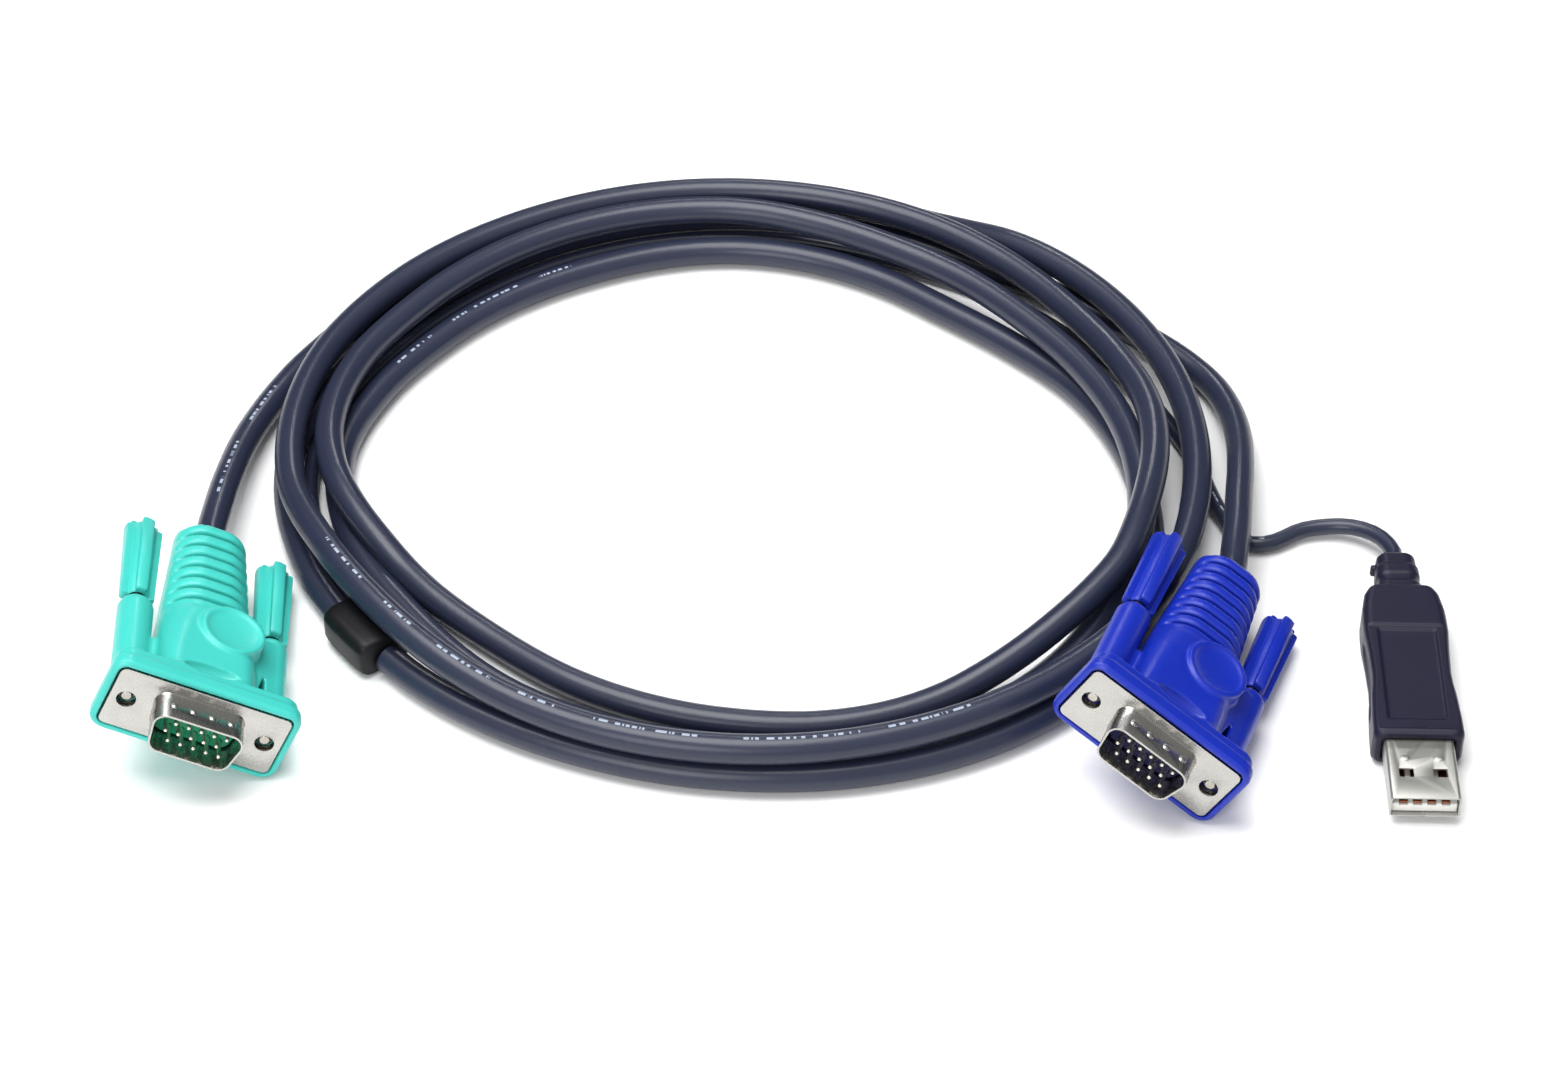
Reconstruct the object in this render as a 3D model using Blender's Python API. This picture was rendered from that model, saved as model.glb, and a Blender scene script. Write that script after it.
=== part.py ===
"""Cable that joins a computer to a keyboard, video and mouse switch.

A long round trunk cable carries a moulded 15-pin plug (teal) at the switch end. It is laid in a
loose coil of four turns and ends in a moulded junction, where a second round cable goes on to a
blue 15-pin plug and a thin lead goes on to a flat four-contact plug. Units are metres, +Z is up,
and everything rests on z = 0.
"""
import math

import bmesh
import bpy
from mathutils import Matrix, Vector

SEAT_GAP = 0.0003

# Points on each corner of an outline, and sides of round solids
CORNER_STEPS = 3
EDGE_STEPS = 4
BODY_STEPS = 5
BORE_SIDES = 20
BARREL_SIDES = 24
PAD_SIDES = 32
SCREW_SIDES = 16
PIN_SIDES = 8
SHARP_ANGLE = math.radians(35.0)

# Fifteen-pin plug: steel front shell
SCREW_SPACING = 0.02499
SCREW_HOLE_RADIUS = 0.0017
SCREW_HOLE_EDGE = 0.001205
PLATE_WIDTH = SCREW_SPACING + 2 * (SCREW_HOLE_RADIUS + SCREW_HOLE_EDGE)
PLATE_HEIGHT = 0.0125
PLATE_THICKNESS = 0.0006
PLATE_CORNER = 0.0012
SHELL_WIDTH = 0.0169
SHELL_HEIGHT = 0.0084
SHELL_LENGTH = 0.0059
SHELL_WALL = 0.0004
SHELL_SIDE_ANGLE = math.radians(10.0)
SHELL_CORNER = 0.0024
DIMPLE_RADIUS = 0.0010
DIMPLE_HEIGHT = 0.0003
DIMPLE_PITCH = 0.0034
DIMPLES_PER_SIDE = 4

# Fifteen-pin plug: inside
INSULATOR_FRONT = 0.0006
INSULATOR_LENGTH = 0.0072
INSULATOR_CLEARANCE = 0.00015
REAR_SHELL_WIDTH = 0.0184
REAR_SHELL_HEIGHT = 0.0100
REAR_SHELL_DEPTH = 0.0062
REAR_SHELL_WALL = 0.0004
PIN_RADIUS = 0.00038
PIN_TIP_TAPER = 0.0006
PIN_REACH = 0.0050
PIN_TAIL = 0.0020
PIN_CLEARANCE = 0.00012
PIN_PITCH = 0.00229
PIN_ROW_PITCH = 0.00198
PIN_ROWS = 3
PINS_PER_ROW = 5

# Fifteen-pin plug: moulded hood
LIP = 0.0016
HOOD_CORNER = 0.0028
BAND_DEPTH = 0.0026
BAND_STEP = 0.0005
FLANGE_DEPTH = 0.0050
BODY_WIDTH = 0.0196
BODY_HEIGHT = 0.0142
BODY_CORNER = 0.0030
BODY_REAR_CORNER = 0.0058
BODY_STRAIGHT = 0.0060
BODY_END_GAP = 0.0012
HOOD_LENGTH = 0.0470
BOOT_START = 0.0235
BOOT_WIDTH = 0.0138
BOOT_HEIGHT = 0.0106
BOOT_ROUNDNESS = 0.97
BOOT_STRIP_SHARE = 0.2
SHOULDER_WIDTH_SHARE = 0.84
SHOULDER_HEIGHT_SHARE = 0.92
GROOVE_DEPTH = 0.0009
BARREL_RADIUS = 0.0036
BARREL_FLARE = 0.0002
BARREL_LENGTH = 0.0268
BARREL_BORE = 0.0017
WEB_REACH = 0.0160
WEB_THICKNESS = 0.0042
PAD_RADIUS = 0.0052
PAD_OFFSET = 0.0032
PAD_BACK = 0.0180
PAD_RIM = 0.0009
PAD_RISE = 0.0005
SADDLE_DROP = 0.0004
SCOOP_WIDTH = 0.0100
SCOOP_DEPTH = 0.0007

# One groove of the boot: (share of the pitch, share of the groove's depth)
GROOVE_PROFILE = ((0.02, 0.0), (0.20, 1.0), (0.42, 1.0), (0.60, 0.15))

# Fifteen-pin plug: thumbscrews
KNOB_RADIUS = 0.0035
KNOB_LENGTH = 0.0208
KNOB_FLUTES = 4
KNOB_FLUTE_DEPTH = 0.0009
KNOB_NOSE_TRIM = 0.00015
KNOB_END_TRIM = 0.00025
KNOB_BORE_DEPTH = 0.0100
SCREW_RADIUS = 0.00142
SCREW_NECK_RADIUS = 0.0011
SCREW_THREAD_LENGTH = 0.0080
SCREW_RECESS = 0.0006
SCREW_TAIL = 0.0090

# Flat four-contact plug
USB_SHELL_WIDTH = 0.0120
USB_SHELL_HEIGHT = 0.0045
USB_SHELL_WALL = 0.0003
USB_SHELL_CORNER = 0.0007
USB_SHELL_EXPOSED = 0.0138
USB_SHELL_SEAT = 0.0060
USB_WINDOW_WIDTH = 0.0025
USB_WINDOW_LENGTH = 0.0020
USB_WINDOW_BACK = 0.0060
USB_WINDOW_SPACING = 0.0058
USB_TONGUE_THICKNESS = 0.0019
USB_TONGUE_INSET = 0.0008
USB_CONTACT_WIDTH = 0.0011
USB_CONTACT_THICKNESS = 0.0003
USB_CONTACT_PITCH = 0.0024
USB_CONTACT_INSET = 0.0014
USB_CONTACT_STEP = 0.0010
USB_BODY_LENGTH = 0.0365
USB_FRONT_WIDTH = 0.0158
USB_WAIST_WIDTH = 0.0140
USB_SHOULDER_WIDTH = 0.0150
USB_REAR_WIDTH = 0.0118
USB_BODY_HEIGHT = 0.0080
USB_BODY_EDGE = 0.0011
USB_PANEL_WIDTH = 0.0088
USB_PANEL_LENGTH = 0.0210
USB_PANEL_DEPTH = 0.0003
USB_PANEL_BACK = 0.0037
USB_STUB_WIDTH = 0.0068
USB_STUB_HEIGHT = 0.0058
USB_STUB_EDGE = 0.0022
USB_STUB_LENGTH = 0.0110
USB_NUB_SIZE = 0.0011
USB_NUB_REACH = 0.0006
USB_NUB_BACK = 0.0079

# Cables and junction
TRUNK_DIAMETER = 0.0054
BRANCH_DIAMETER = 0.0051
THIN_DIAMETER = 0.0030
JUNCTION_WIDTH = 0.0108
JUNCTION_LENGTH = 0.0130
JUNCTION_HEIGHT = 0.0078
JUNCTION_EDGE = 0.0022
JUNCTION_ANGLE = -142.5
JUNCTION_RADIUS = 0.0817

# Places on the surface that everything lies on
COIL_CENTRE = (-0.0092, 0.0638)
TEAL_FACE = (-0.0998, -0.0181, 0.01388)
TEAL_TURN = (3.7, -4.9, 26.8)
BLUE_FACE = (0.0621, -0.0240, 0.01434)
BLUE_TURN = (-20.7, -5.4, 29.4)
USB_FACE = (0.1092, -0.0288, 0.0)
USB_TURN = -1.5

# Heights of a cable's centre when it lies on the surface, and when it lies on another cable
LOW = 0.0029
HIGH = 0.0086
THIN_LOW = 0.0016
BRANCH_LOW = 0.00265
# Angle between the points of a coiled cable, so that neighbouring turns stay side by side
TURN_STEP = 18.0

# Lead from the teal plug to the coil, from the coil's centre
TEAL_LEAD = (
    (-0.0941, -0.0225, 0.0082),
    (-0.0938, -0.0145, 0.0052),
)

# Turns of the trunk, clockwise from above: angle in degrees, radius, height of the centre
TRUNK_TURNS = (
    (-183.0, 0.0919, LOW), (-189.0, 0.0888, LOW), (-197.0, 0.0855, LOW),
    (-210.0, 0.0814, LOW), (-240.0, 0.0790, LOW), (-270.0, 0.0780, LOW), (-300.0, 0.0782, 0.0038),
    (-315.0, 0.0793, 0.0074), (-330.0, 0.0813, HIGH), (-350.0, 0.0844, HIGH),
    (-370.0, 0.0865, HIGH), (-390.0, 0.0880, HIGH), (-420.0, 0.0860, HIGH),
    (-450.0, 0.0832, HIGH), (-475.0, 0.0809, HIGH), (-500.0, 0.0798, 0.0110),
    (-515.0, 0.0805, 0.0110), (-530.0, 0.0822, 0.0093),
    (-555.0, 0.0810, HIGH), (-570.0, 0.0788, HIGH), (-600.0, 0.0745, HIGH),
    (-630.0, 0.0724, HIGH), (-660.0, 0.0723, HIGH), (-690.0, 0.0732, HIGH),
    (-705.0, 0.0750, 0.0102), (-720.0, 0.0775, 0.0128), (-740.0, 0.0792, 0.0144),
    (-750.0, 0.0803, 0.0130), (-760.0, 0.0789, 0.0104), (-770.0, 0.0774, 0.0072),
    (-782.0, 0.0760, 0.0040), (-795.0, 0.0741, LOW), (-810.0, 0.0713, LOW),
    (-830.0, 0.0680, LOW), (-850.0, 0.0657, LOW), (-870.0, 0.0682, 0.0048),
    (-878.0, 0.0704, 0.0070), (-888.0, 0.0734, HIGH),
    (-900.0, 0.0751, HIGH), (-915.0, 0.0740, HIGH), (-930.0, 0.0713, HIGH),
    (-960.0, 0.0687, HIGH), (-990.0, 0.0662, HIGH), (-1005.0, 0.0638, HIGH),
    (-1020.0, 0.0624, HIGH), (-1035.0, 0.0629, HIGH), (-1050.0, 0.0645, HIGH),
    (-1065.0, 0.0684, HIGH), (-1080.0, 0.0731, HIGH), (-1100.0, 0.0787, 0.0082),
    (-1110.0, 0.0799, 0.0066), (-1120.0, 0.0814, 0.0038), (-1140.0, 0.0822, LOW),
    (-1155.0, 0.0802, LOW), (-1170.0, 0.0775, LOW), (-1200.0, 0.0749, LOW),
    (-1223.0, 0.0730, LOW), (-1240.0, 0.0751, LOW),
    (-1260.0, 0.0750, LOW), (-1274.0, 0.0706, LOW), (-1290.0, 0.0665, LOW),
    (-1320.0, 0.0615, LOW), (-1350.0, 0.0606, LOW), (-1380.0, 0.0587, LOW),
    (-1395.0, 0.0586, LOW), (-1410.0, 0.0620, LOW), (-1425.0, 0.0680, LOW),
    (-1440.0, 0.0736, LOW), (-1460.0, 0.0812, LOW), (-1470.0, 0.0862, LOW),
    (-1485.0, 0.0886, LOW), (-1500.0, 0.0882, LOW), (-1515.0, 0.0862, LOW),
    (-1530.0, 0.0840, LOW), (-1550.0, 0.0822, LOW), (-1577.6, 0.0819, LOW),
)

# Branch cable from the junction, under the coil, then up to the blue plug
BRANCH_TURN = (
    (-147.4, 0.0832, BRANCH_LOW), (-160.0, 0.0840, BRANCH_LOW), (-180.0, 0.0837, BRANCH_LOW),
    (-194.0, 0.0793, BRANCH_LOW), (-210.0, 0.0757, BRANCH_LOW), (-240.0, 0.0729, BRANCH_LOW),
    (-270.0, 0.0719, BRANCH_LOW), (-300.0, 0.0722, BRANCH_LOW), (-315.0, 0.0752, BRANCH_LOW),
    (-330.0, 0.0812, BRANCH_LOW), (-340.0, 0.0868, BRANCH_LOW), (-350.0, 0.0919, BRANCH_LOW),
    (-360.0, 0.0940, 0.0038), (-368.0, 0.0941, 0.0062), (-374.0, 0.0930, 0.0082),
)
BRANCH_LEAD = (
    (0.0909, -0.0308, 0.0095),
)

# Thin lead from the junction, under the coil, then over to the flat plug
THIN_TURN = (
    (-147.4, 0.0789, THIN_LOW), (-160.0, 0.0799, THIN_LOW), (-180.0, 0.0794, THIN_LOW),
    (-194.0, 0.0751, THIN_LOW), (-210.0, 0.0714, THIN_LOW), (-240.0, 0.0677, THIN_LOW),
    (-270.0, 0.0664, THIN_LOW), (-300.0, 0.0668, THIN_LOW), (-320.0, 0.0705, THIN_LOW),
    (-335.0, 0.0750, THIN_LOW), (-345.0, 0.0792, THIN_LOW), (-355.0, 0.0836, THIN_LOW),
    (-363.0, 0.0874, THIN_LOW),
)
THIN_LEAD = (
    (0.0891, -0.0130, THIN_LOW),
    (0.0905, -0.0196, THIN_LOW),
    (0.0931, -0.0246, THIN_LOW),
    (0.0969, -0.0256, THIN_LOW),
    (0.1010, -0.0230, 0.0017),
    (0.1069, -0.0206, 0.0022),
    (0.1131, -0.0216, 0.0030),
    (0.1174, -0.0246, 0.0038),
)


def clear_scene():
    for item in list(bpy.data.objects):
        bpy.data.objects.remove(item, do_unlink=True)


def make_material(name, colour, roughness, metallic=0.0):
    material = bpy.data.materials.new(name)
    material.use_nodes = True
    shader = material.node_tree.nodes["Principled BSDF"]
    shader.inputs["Base Color"].default_value = (*colour, 1.0)
    shader.inputs["Roughness"].default_value = roughness
    shader.inputs["Metallic"].default_value = metallic
    return material


def make_empty(name, location, turn, parent=None):
    empty = bpy.data.objects.new(name, None)
    empty.rotation_mode = "YXZ"
    empty.location = location
    empty.rotation_euler = turn
    empty.parent = parent
    bpy.context.collection.objects.link(empty)
    return empty


def add_object(name, mesh_data, material, parent=None):
    item = bpy.data.objects.new(name, mesh_data)
    item.data.materials.append(material)
    item.parent = parent
    bpy.context.collection.objects.link(item)
    return item


def finish_mesh(name, bm):
    bmesh.ops.recalc_face_normals(bm, faces=bm.faces)
    data = bpy.data.meshes.new(name)
    bm.to_mesh(data)
    bm.free()
    data.shade_smooth()
    data.set_sharp_from_angle(angle=SHARP_ANGLE)
    return data


def rounded_outline(width, height, corner, steps=CORNER_STEPS):
    """Points of a rounded rectangle about the origin, anticlockwise."""
    points = []
    for side_x, side_z, start in ((1, 1, 0.0), (-1, 1, 90.0), (-1, -1, 180.0), (1, -1, 270.0)):
        for step in range(steps + 1):
            angle = math.radians(start + 90.0 * step / steps)
            x = side_x * (width / 2 - corner) + corner * math.cos(angle)
            z = side_z * (height / 2 - corner) + corner * math.sin(angle)
            points.append((x, z))
    return points


def d_outline(width, height, corner, steps=CORNER_STEPS):
    """Points of the D shape with its wide side up: the sides lean in towards the bottom."""
    lean = math.tan(SHELL_SIDE_ANGLE) * height / 2
    corners = (
        Vector((width / 2, height / 2)),
        Vector((-width / 2, height / 2)),
        Vector((-width / 2 + 2 * lean, -height / 2)),
        Vector((width / 2 - 2 * lean, -height / 2)),
    )
    points = []
    for index, corner_point in enumerate(corners):
        before = (corners[index - 1] - corner_point).normalized()
        after = (corners[(index + 1) % 4] - corner_point).normalized()
        half = math.acos(before.dot(after)) / 2
        centre = corner_point + (before + after).normalized() * corner / math.sin(half)
        start = corner_point + before * corner / math.tan(half) - centre
        sweep = math.pi - 2 * half
        for step in range(steps + 1):
            turned = Matrix.Rotation(sweep * step / steps, 2) @ start
            points.append(tuple(centre + turned))
    return points


def add_ring(bm, outline, y):
    return [bm.verts.new((x, y, z)) for x, z in outline]


def bridge_rings(bm, first, second):
    count = len(first)
    for index in range(count):
        following = (index + 1) % count
        bm.faces.new((first[index], first[following], second[following], second[index]))


def loft(sections):
    """Closed solid through (outline, y) sections."""
    bm = bmesh.new()
    rings = [add_ring(bm, outline, y) for outline, y in sections]
    for first, second in zip(rings, rings[1:]):
        bridge_rings(bm, first, second)
    bm.faces.new(rings[0])
    bm.faces.new(rings[-1])
    return bm


def rod_sections(radius_steps, sides, x=0.0, z=0.0):
    """Round sections for loft() from (radius, y) steps, centred on (x, z)."""
    sections = []
    for radius, y in radius_steps:
        outline = []
        for side in range(sides):
            angle = math.tau * side / sides
            outline.append((x + radius * math.cos(angle), z + radius * math.sin(angle)))
        sections.append((outline, y))
    return sections


def join_or_cut(target, tools, operation):
    """Apply the tools to the target with exact booleans and remove them."""
    for tool in tools:
        tool.parent = None
        modifier = target.modifiers.new("shape", "BOOLEAN")
        modifier.operation = operation
        modifier.solver = "EXACT"
        modifier.object = tool
    holder = target.parent
    target.parent = None
    bpy.context.view_layer.update()
    evaluated = target.evaluated_get(bpy.context.evaluated_depsgraph_get())
    shaped = bpy.data.meshes.new_from_object(evaluated)
    target.modifiers.clear()
    target.data = shaped
    target.parent = holder
    for tool in tools:
        bpy.data.objects.remove(tool, do_unlink=True)
    target.data.set_sharp_from_angle(angle=SHARP_ANGLE)


def solid(name, bm, material, parent=None):
    return add_object(name, finish_mesh(name, bm), material, parent)


def make_front_shell(name, material, parent):
    """Stamped plate with a D-shaped skirt that stands forward of it."""
    plate_outline = rounded_outline(PLATE_WIDTH, PLATE_HEIGHT, PLATE_CORNER)
    plate = solid(name, loft([(plate_outline, 0.0), (plate_outline, PLATE_THICKNESS)]), material, parent)
    skirt_outline = d_outline(SHELL_WIDTH, SHELL_HEIGHT, SHELL_CORNER)
    skirt_root = d_outline(SHELL_WIDTH + SHELL_WALL, SHELL_HEIGHT + SHELL_WALL, SHELL_CORNER)
    sections = [(skirt_outline, -SHELL_LENGTH), (skirt_outline, -SHELL_WALL), (skirt_root, PLATE_THICKNESS / 2)]
    adds = [solid(name + "_skirt", loft(sections), material)]
    for side in (-1, 1):
        for index in range(DIMPLES_PER_SIDE):
            bm = bmesh.new()
            bmesh.ops.create_uvsphere(bm, u_segments=PIN_SIDES, v_segments=PIN_SIDES // 2, radius=DIMPLE_RADIUS)
            x = (index - (DIMPLES_PER_SIDE - 1) / 2) * DIMPLE_PITCH
            sink = DIMPLE_RADIUS - DIMPLE_HEIGHT
            place = Vector((x, -SHELL_LENGTH / 2, side * (SHELL_HEIGHT / 2 - sink)))
            bmesh.ops.translate(bm, verts=bm.verts, vec=place)
            adds.append(solid(name + "_dimple", bm, material))
    join_or_cut(plate, adds, "UNION")
    inner = d_outline(SHELL_WIDTH - 2 * SHELL_WALL, SHELL_HEIGHT - 2 * SHELL_WALL, SHELL_CORNER - SHELL_WALL)
    ends = (-SHELL_LENGTH - SHELL_WALL, PLATE_THICKNESS + SHELL_WALL)
    cuts = [solid(name + "_hollow", loft([(inner, ends[0]), (inner, ends[1])]), material)]
    for side in (-1, 1):
        x = side * SCREW_SPACING / 2
        steps = [(SCREW_HOLE_RADIUS, -PLATE_THICKNESS), (SCREW_HOLE_RADIUS, 2 * PLATE_THICKNESS)]
        cuts.append(solid(name + "_hole", loft(rod_sections(steps, BORE_SIDES, x)), material))
    join_or_cut(plate, cuts, "DIFFERENCE")
    return plate


def make_rear_shell(name, material, parent):
    """Second stamped plate behind the first, with a box that holds the insulator's rear block."""
    front = PLATE_THICKNESS + SEAT_GAP
    back = front + REAR_SHELL_DEPTH
    plate_outline = rounded_outline(PLATE_WIDTH, PLATE_HEIGHT, PLATE_CORNER)
    box_outline = rounded_outline(REAR_SHELL_WIDTH, REAR_SHELL_HEIGHT, PLATE_CORNER)
    plate = solid(name, loft([(plate_outline, front), (plate_outline, front + PLATE_THICKNESS)]), material, parent)
    box = solid(name + "_box", loft([(box_outline, front + PLATE_THICKNESS / 2), (box_outline, back)]), material)
    join_or_cut(plate, [box], "UNION")
    inner = rounded_outline(
        REAR_SHELL_WIDTH - 2 * REAR_SHELL_WALL, REAR_SHELL_HEIGHT - 2 * REAR_SHELL_WALL,
        PLATE_CORNER - REAR_SHELL_WALL,
    )
    through = [(inner, front - REAR_SHELL_WALL), (inner, back + REAR_SHELL_WALL)]
    cuts = [solid(name + "_hollow", loft(through), material)]
    for side in (-1, 1):
        x = side * SCREW_SPACING / 2
        steps = [(SCREW_HOLE_RADIUS, front - PLATE_THICKNESS), (SCREW_HOLE_RADIUS, front + 2 * PLATE_THICKNESS)]
        cuts.append(solid(name + "_hole", loft(rod_sections(steps, BORE_SIDES, x)), material))
    join_or_cut(plate, cuts, "DIFFERENCE")
    return plate


def pin_places():
    """Places of the pins: three rows, the middle one shifted by half a pitch."""
    places = []
    for row in range(PIN_ROWS):
        shift = PIN_PITCH / 4 if row % 2 == 0 else -PIN_PITCH / 4
        z = ((PIN_ROWS - 1) / 2 - row) * PIN_ROW_PITCH
        for column in range(PINS_PER_ROW):
            x = (column - (PINS_PER_ROW - 1) / 2) * PIN_PITCH + shift
            places.append((row, column, x, z))
    return places


def make_insulator(name, material, parent):
    """Moulded block: a D-shaped nose in the front shell and a square block in the rear shell."""
    nose_margin = 2 * (SHELL_WALL + INSULATOR_CLEARANCE)
    nose = d_outline(SHELL_WIDTH - nose_margin, SHELL_HEIGHT - nose_margin, SHELL_CORNER - SHELL_WALL)
    block_margin = 2 * (REAR_SHELL_WALL + INSULATOR_CLEARANCE)
    block = rounded_outline(
        REAR_SHELL_WIDTH - block_margin, REAR_SHELL_HEIGHT - block_margin, PLATE_CORNER - REAR_SHELL_WALL,
    )
    step = PLATE_THICKNESS + SEAT_GAP
    back = INSULATOR_LENGTH - INSULATOR_FRONT
    body = solid(name, loft([(nose, -INSULATOR_FRONT), (nose, step + SEAT_GAP)]), material, parent)
    rear = solid(name + "_block", loft([(block, step), (block, back)]), material)
    join_or_cut(body, [rear], "UNION")
    holes = bmesh.new()
    for row, column, x, z in pin_places():
        hole_radius = PIN_RADIUS + PIN_CLEARANCE
        steps = [(hole_radius, -2 * INSULATOR_FRONT), (hole_radius, back + INSULATOR_FRONT)]
        rings = [add_ring(holes, outline, y) for outline, y in rod_sections(steps, PIN_SIDES, x, z)]
        bridge_rings(holes, rings[0], rings[1])
        holes.faces.new(rings[0])
        holes.faces.new(rings[1])
    join_or_cut(body, [solid(name + "_holes", holes, material)], "DIFFERENCE")
    return body


def make_pins(name, material, parent):
    back = INSULATOR_LENGTH - INSULATOR_FRONT + PIN_TAIL
    for row, column, x, z in pin_places():
        steps = [
            (PIN_RADIUS / 2, -PIN_REACH),
            (PIN_RADIUS, -PIN_REACH + PIN_TIP_TAPER),
            (PIN_RADIUS, back),
        ]
        number = row * PINS_PER_ROW + column + 1
        solid("%s_%02d" % (name, number), loft(rod_sections(steps, PIN_SIDES, x, z)), material, parent)


def boot_outline(width, height, groove):
    """Outline of the boot: an oval, drawn in by the groove except along a strip on its left side."""
    points = []
    for x, z in rounded_outline(width, height, height / 2 * BOOT_ROUNDNESS, BODY_STEPS):
        reach = math.hypot(x, z)
        on_strip = x < 0 and abs(z) < height * BOOT_STRIP_SHARE
        drawn = 0.0 if on_strip else groove
        points.append((x * (1 - drawn / reach), z * (1 - drawn / reach)))
    return points


def boot_sections(grooves):
    """Boot that tapers from the body to the cable, with rounded ribs between its grooves."""
    shoulder = (BODY_WIDTH * SHOULDER_WIDTH_SHARE, BODY_HEIGHT * SHOULDER_HEIGHT_SHARE)
    length = HOOD_LENGTH - BOOT_START
    pitch = length / (grooves + 0.6)
    places = []
    for index in range(grooves):
        places += [((index + share) * pitch, depth) for share, depth in GROOVE_PROFILE]
    places += [(length - 0.3 * pitch, 0.0), (length, 0.6)]
    sections = []
    for reach, depth in places:
        share = reach / length
        width = shoulder[0] + (BOOT_WIDTH - shoulder[0]) * share
        height = shoulder[1] + (BOOT_HEIGHT - shoulder[1]) * share
        sections.append((boot_outline(width, height, GROOVE_DEPTH * depth), BOOT_START + reach))
    return sections


def body_sections():
    """Body between the flange and the boot, with the boot's outline count at its rear."""
    sections = []
    for y, narrow, low, rounding in (
        (BAND_DEPTH, 1.0, 1.0, 0.0),
        (FLANGE_DEPTH + BODY_STRAIGHT, 0.99, 1.0, 0.15),
        (BOOT_START - BODY_STRAIGHT, 0.93, 0.97, 0.55),
        (BOOT_START - BODY_END_GAP, 0.86, 0.93, 1.0),
    ):
        corner = BODY_CORNER + (BODY_REAR_CORNER - BODY_CORNER) * rounding
        sections.append((rounded_outline(BODY_WIDTH * narrow, BODY_HEIGHT * low, corner, BODY_STEPS), y))
    return sections


def box_solid(name, low, high, edge, material):
    bm = bmesh.new()
    bmesh.ops.create_cube(bm, size=1.0)
    size = [high[axis] - low[axis] for axis in range(3)]
    centre = [(high[axis] + low[axis]) / 2 for axis in range(3)]
    bmesh.ops.scale(bm, vec=size, verts=bm.verts)
    bmesh.ops.translate(bm, vec=centre, verts=bm.verts)
    bmesh.ops.bevel(
        bm, geom=bm.edges, offset=edge, segments=2, profile=0.5, affect="EDGES", material=-1,
    )
    return solid(name, bm, material)


def make_hood(name, grooves, material, parent):
    """Moulded hood: flange round the steel plate, body, ribbed boot and two screw barrels."""
    width = PLATE_WIDTH + 2 * LIP
    height = PLATE_HEIGHT + 2 * LIP
    band = rounded_outline(width, height, HOOD_CORNER, EDGE_STEPS)
    inner_band = rounded_outline(width - 2 * BAND_STEP, height - 2 * BAND_STEP, HOOD_CORNER, EDGE_STEPS)
    flange = [(inner_band, 0.0), (band, BAND_STEP), (band, BAND_DEPTH)]
    flange += [(inner_band, BAND_DEPTH + BAND_STEP / 2), (inner_band, FLANGE_DEPTH)]
    hood = solid(name, loft(flange), material, parent)
    adds = [solid(name + "_body", loft(body_sections() + boot_sections(grooves)), material)]
    half_web = WEB_THICKNESS / 2
    for side in (-1, 1):
        x = side * SCREW_SPACING / 2
        steps = [(BARREL_RADIUS + BARREL_FLARE, BAND_DEPTH), (BARREL_RADIUS, FLANGE_DEPTH + BODY_STRAIGHT)]
        steps.append((BARREL_RADIUS, BARREL_LENGTH - SEAT_GAP))
        adds.append(solid(name + "_barrel", loft(rod_sections(steps, BARREL_SIDES, x)), material))
        low = (min(0.0, x), BAND_DEPTH, -half_web)
        high = (max(0.0, x), WEB_REACH, half_web)
        adds.append(box_solid(name + "_web", low, high, half_web / 4, material))
    saddle_low = (PAD_OFFSET, PAD_BACK - PAD_RADIUS + PAD_RIM, -half_web)
    saddle_high = (SCREW_SPACING / 2, BARREL_LENGTH - BARREL_RADIUS, BARREL_RADIUS - SADDLE_DROP)
    adds.append(box_solid(name + "_saddle", saddle_low, saddle_high, half_web / 3, material))
    pad = bmesh.new()
    top = BODY_HEIGHT / 2 + PAD_RISE
    bmesh.ops.create_cone(
        pad, cap_ends=True, segments=PAD_SIDES, radius1=PAD_RADIUS + PAD_RISE, radius2=PAD_RADIUS, depth=top,
    )
    bmesh.ops.translate(pad, verts=pad.verts, vec=(PAD_OFFSET, PAD_BACK, top / 2))
    adds.append(solid(name + "_pad", pad, material))
    join_or_cut(hood, adds, "UNION")
    join_or_cut(hood, hood_cutters(name, material), "DIFFERENCE")
    return hood


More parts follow.
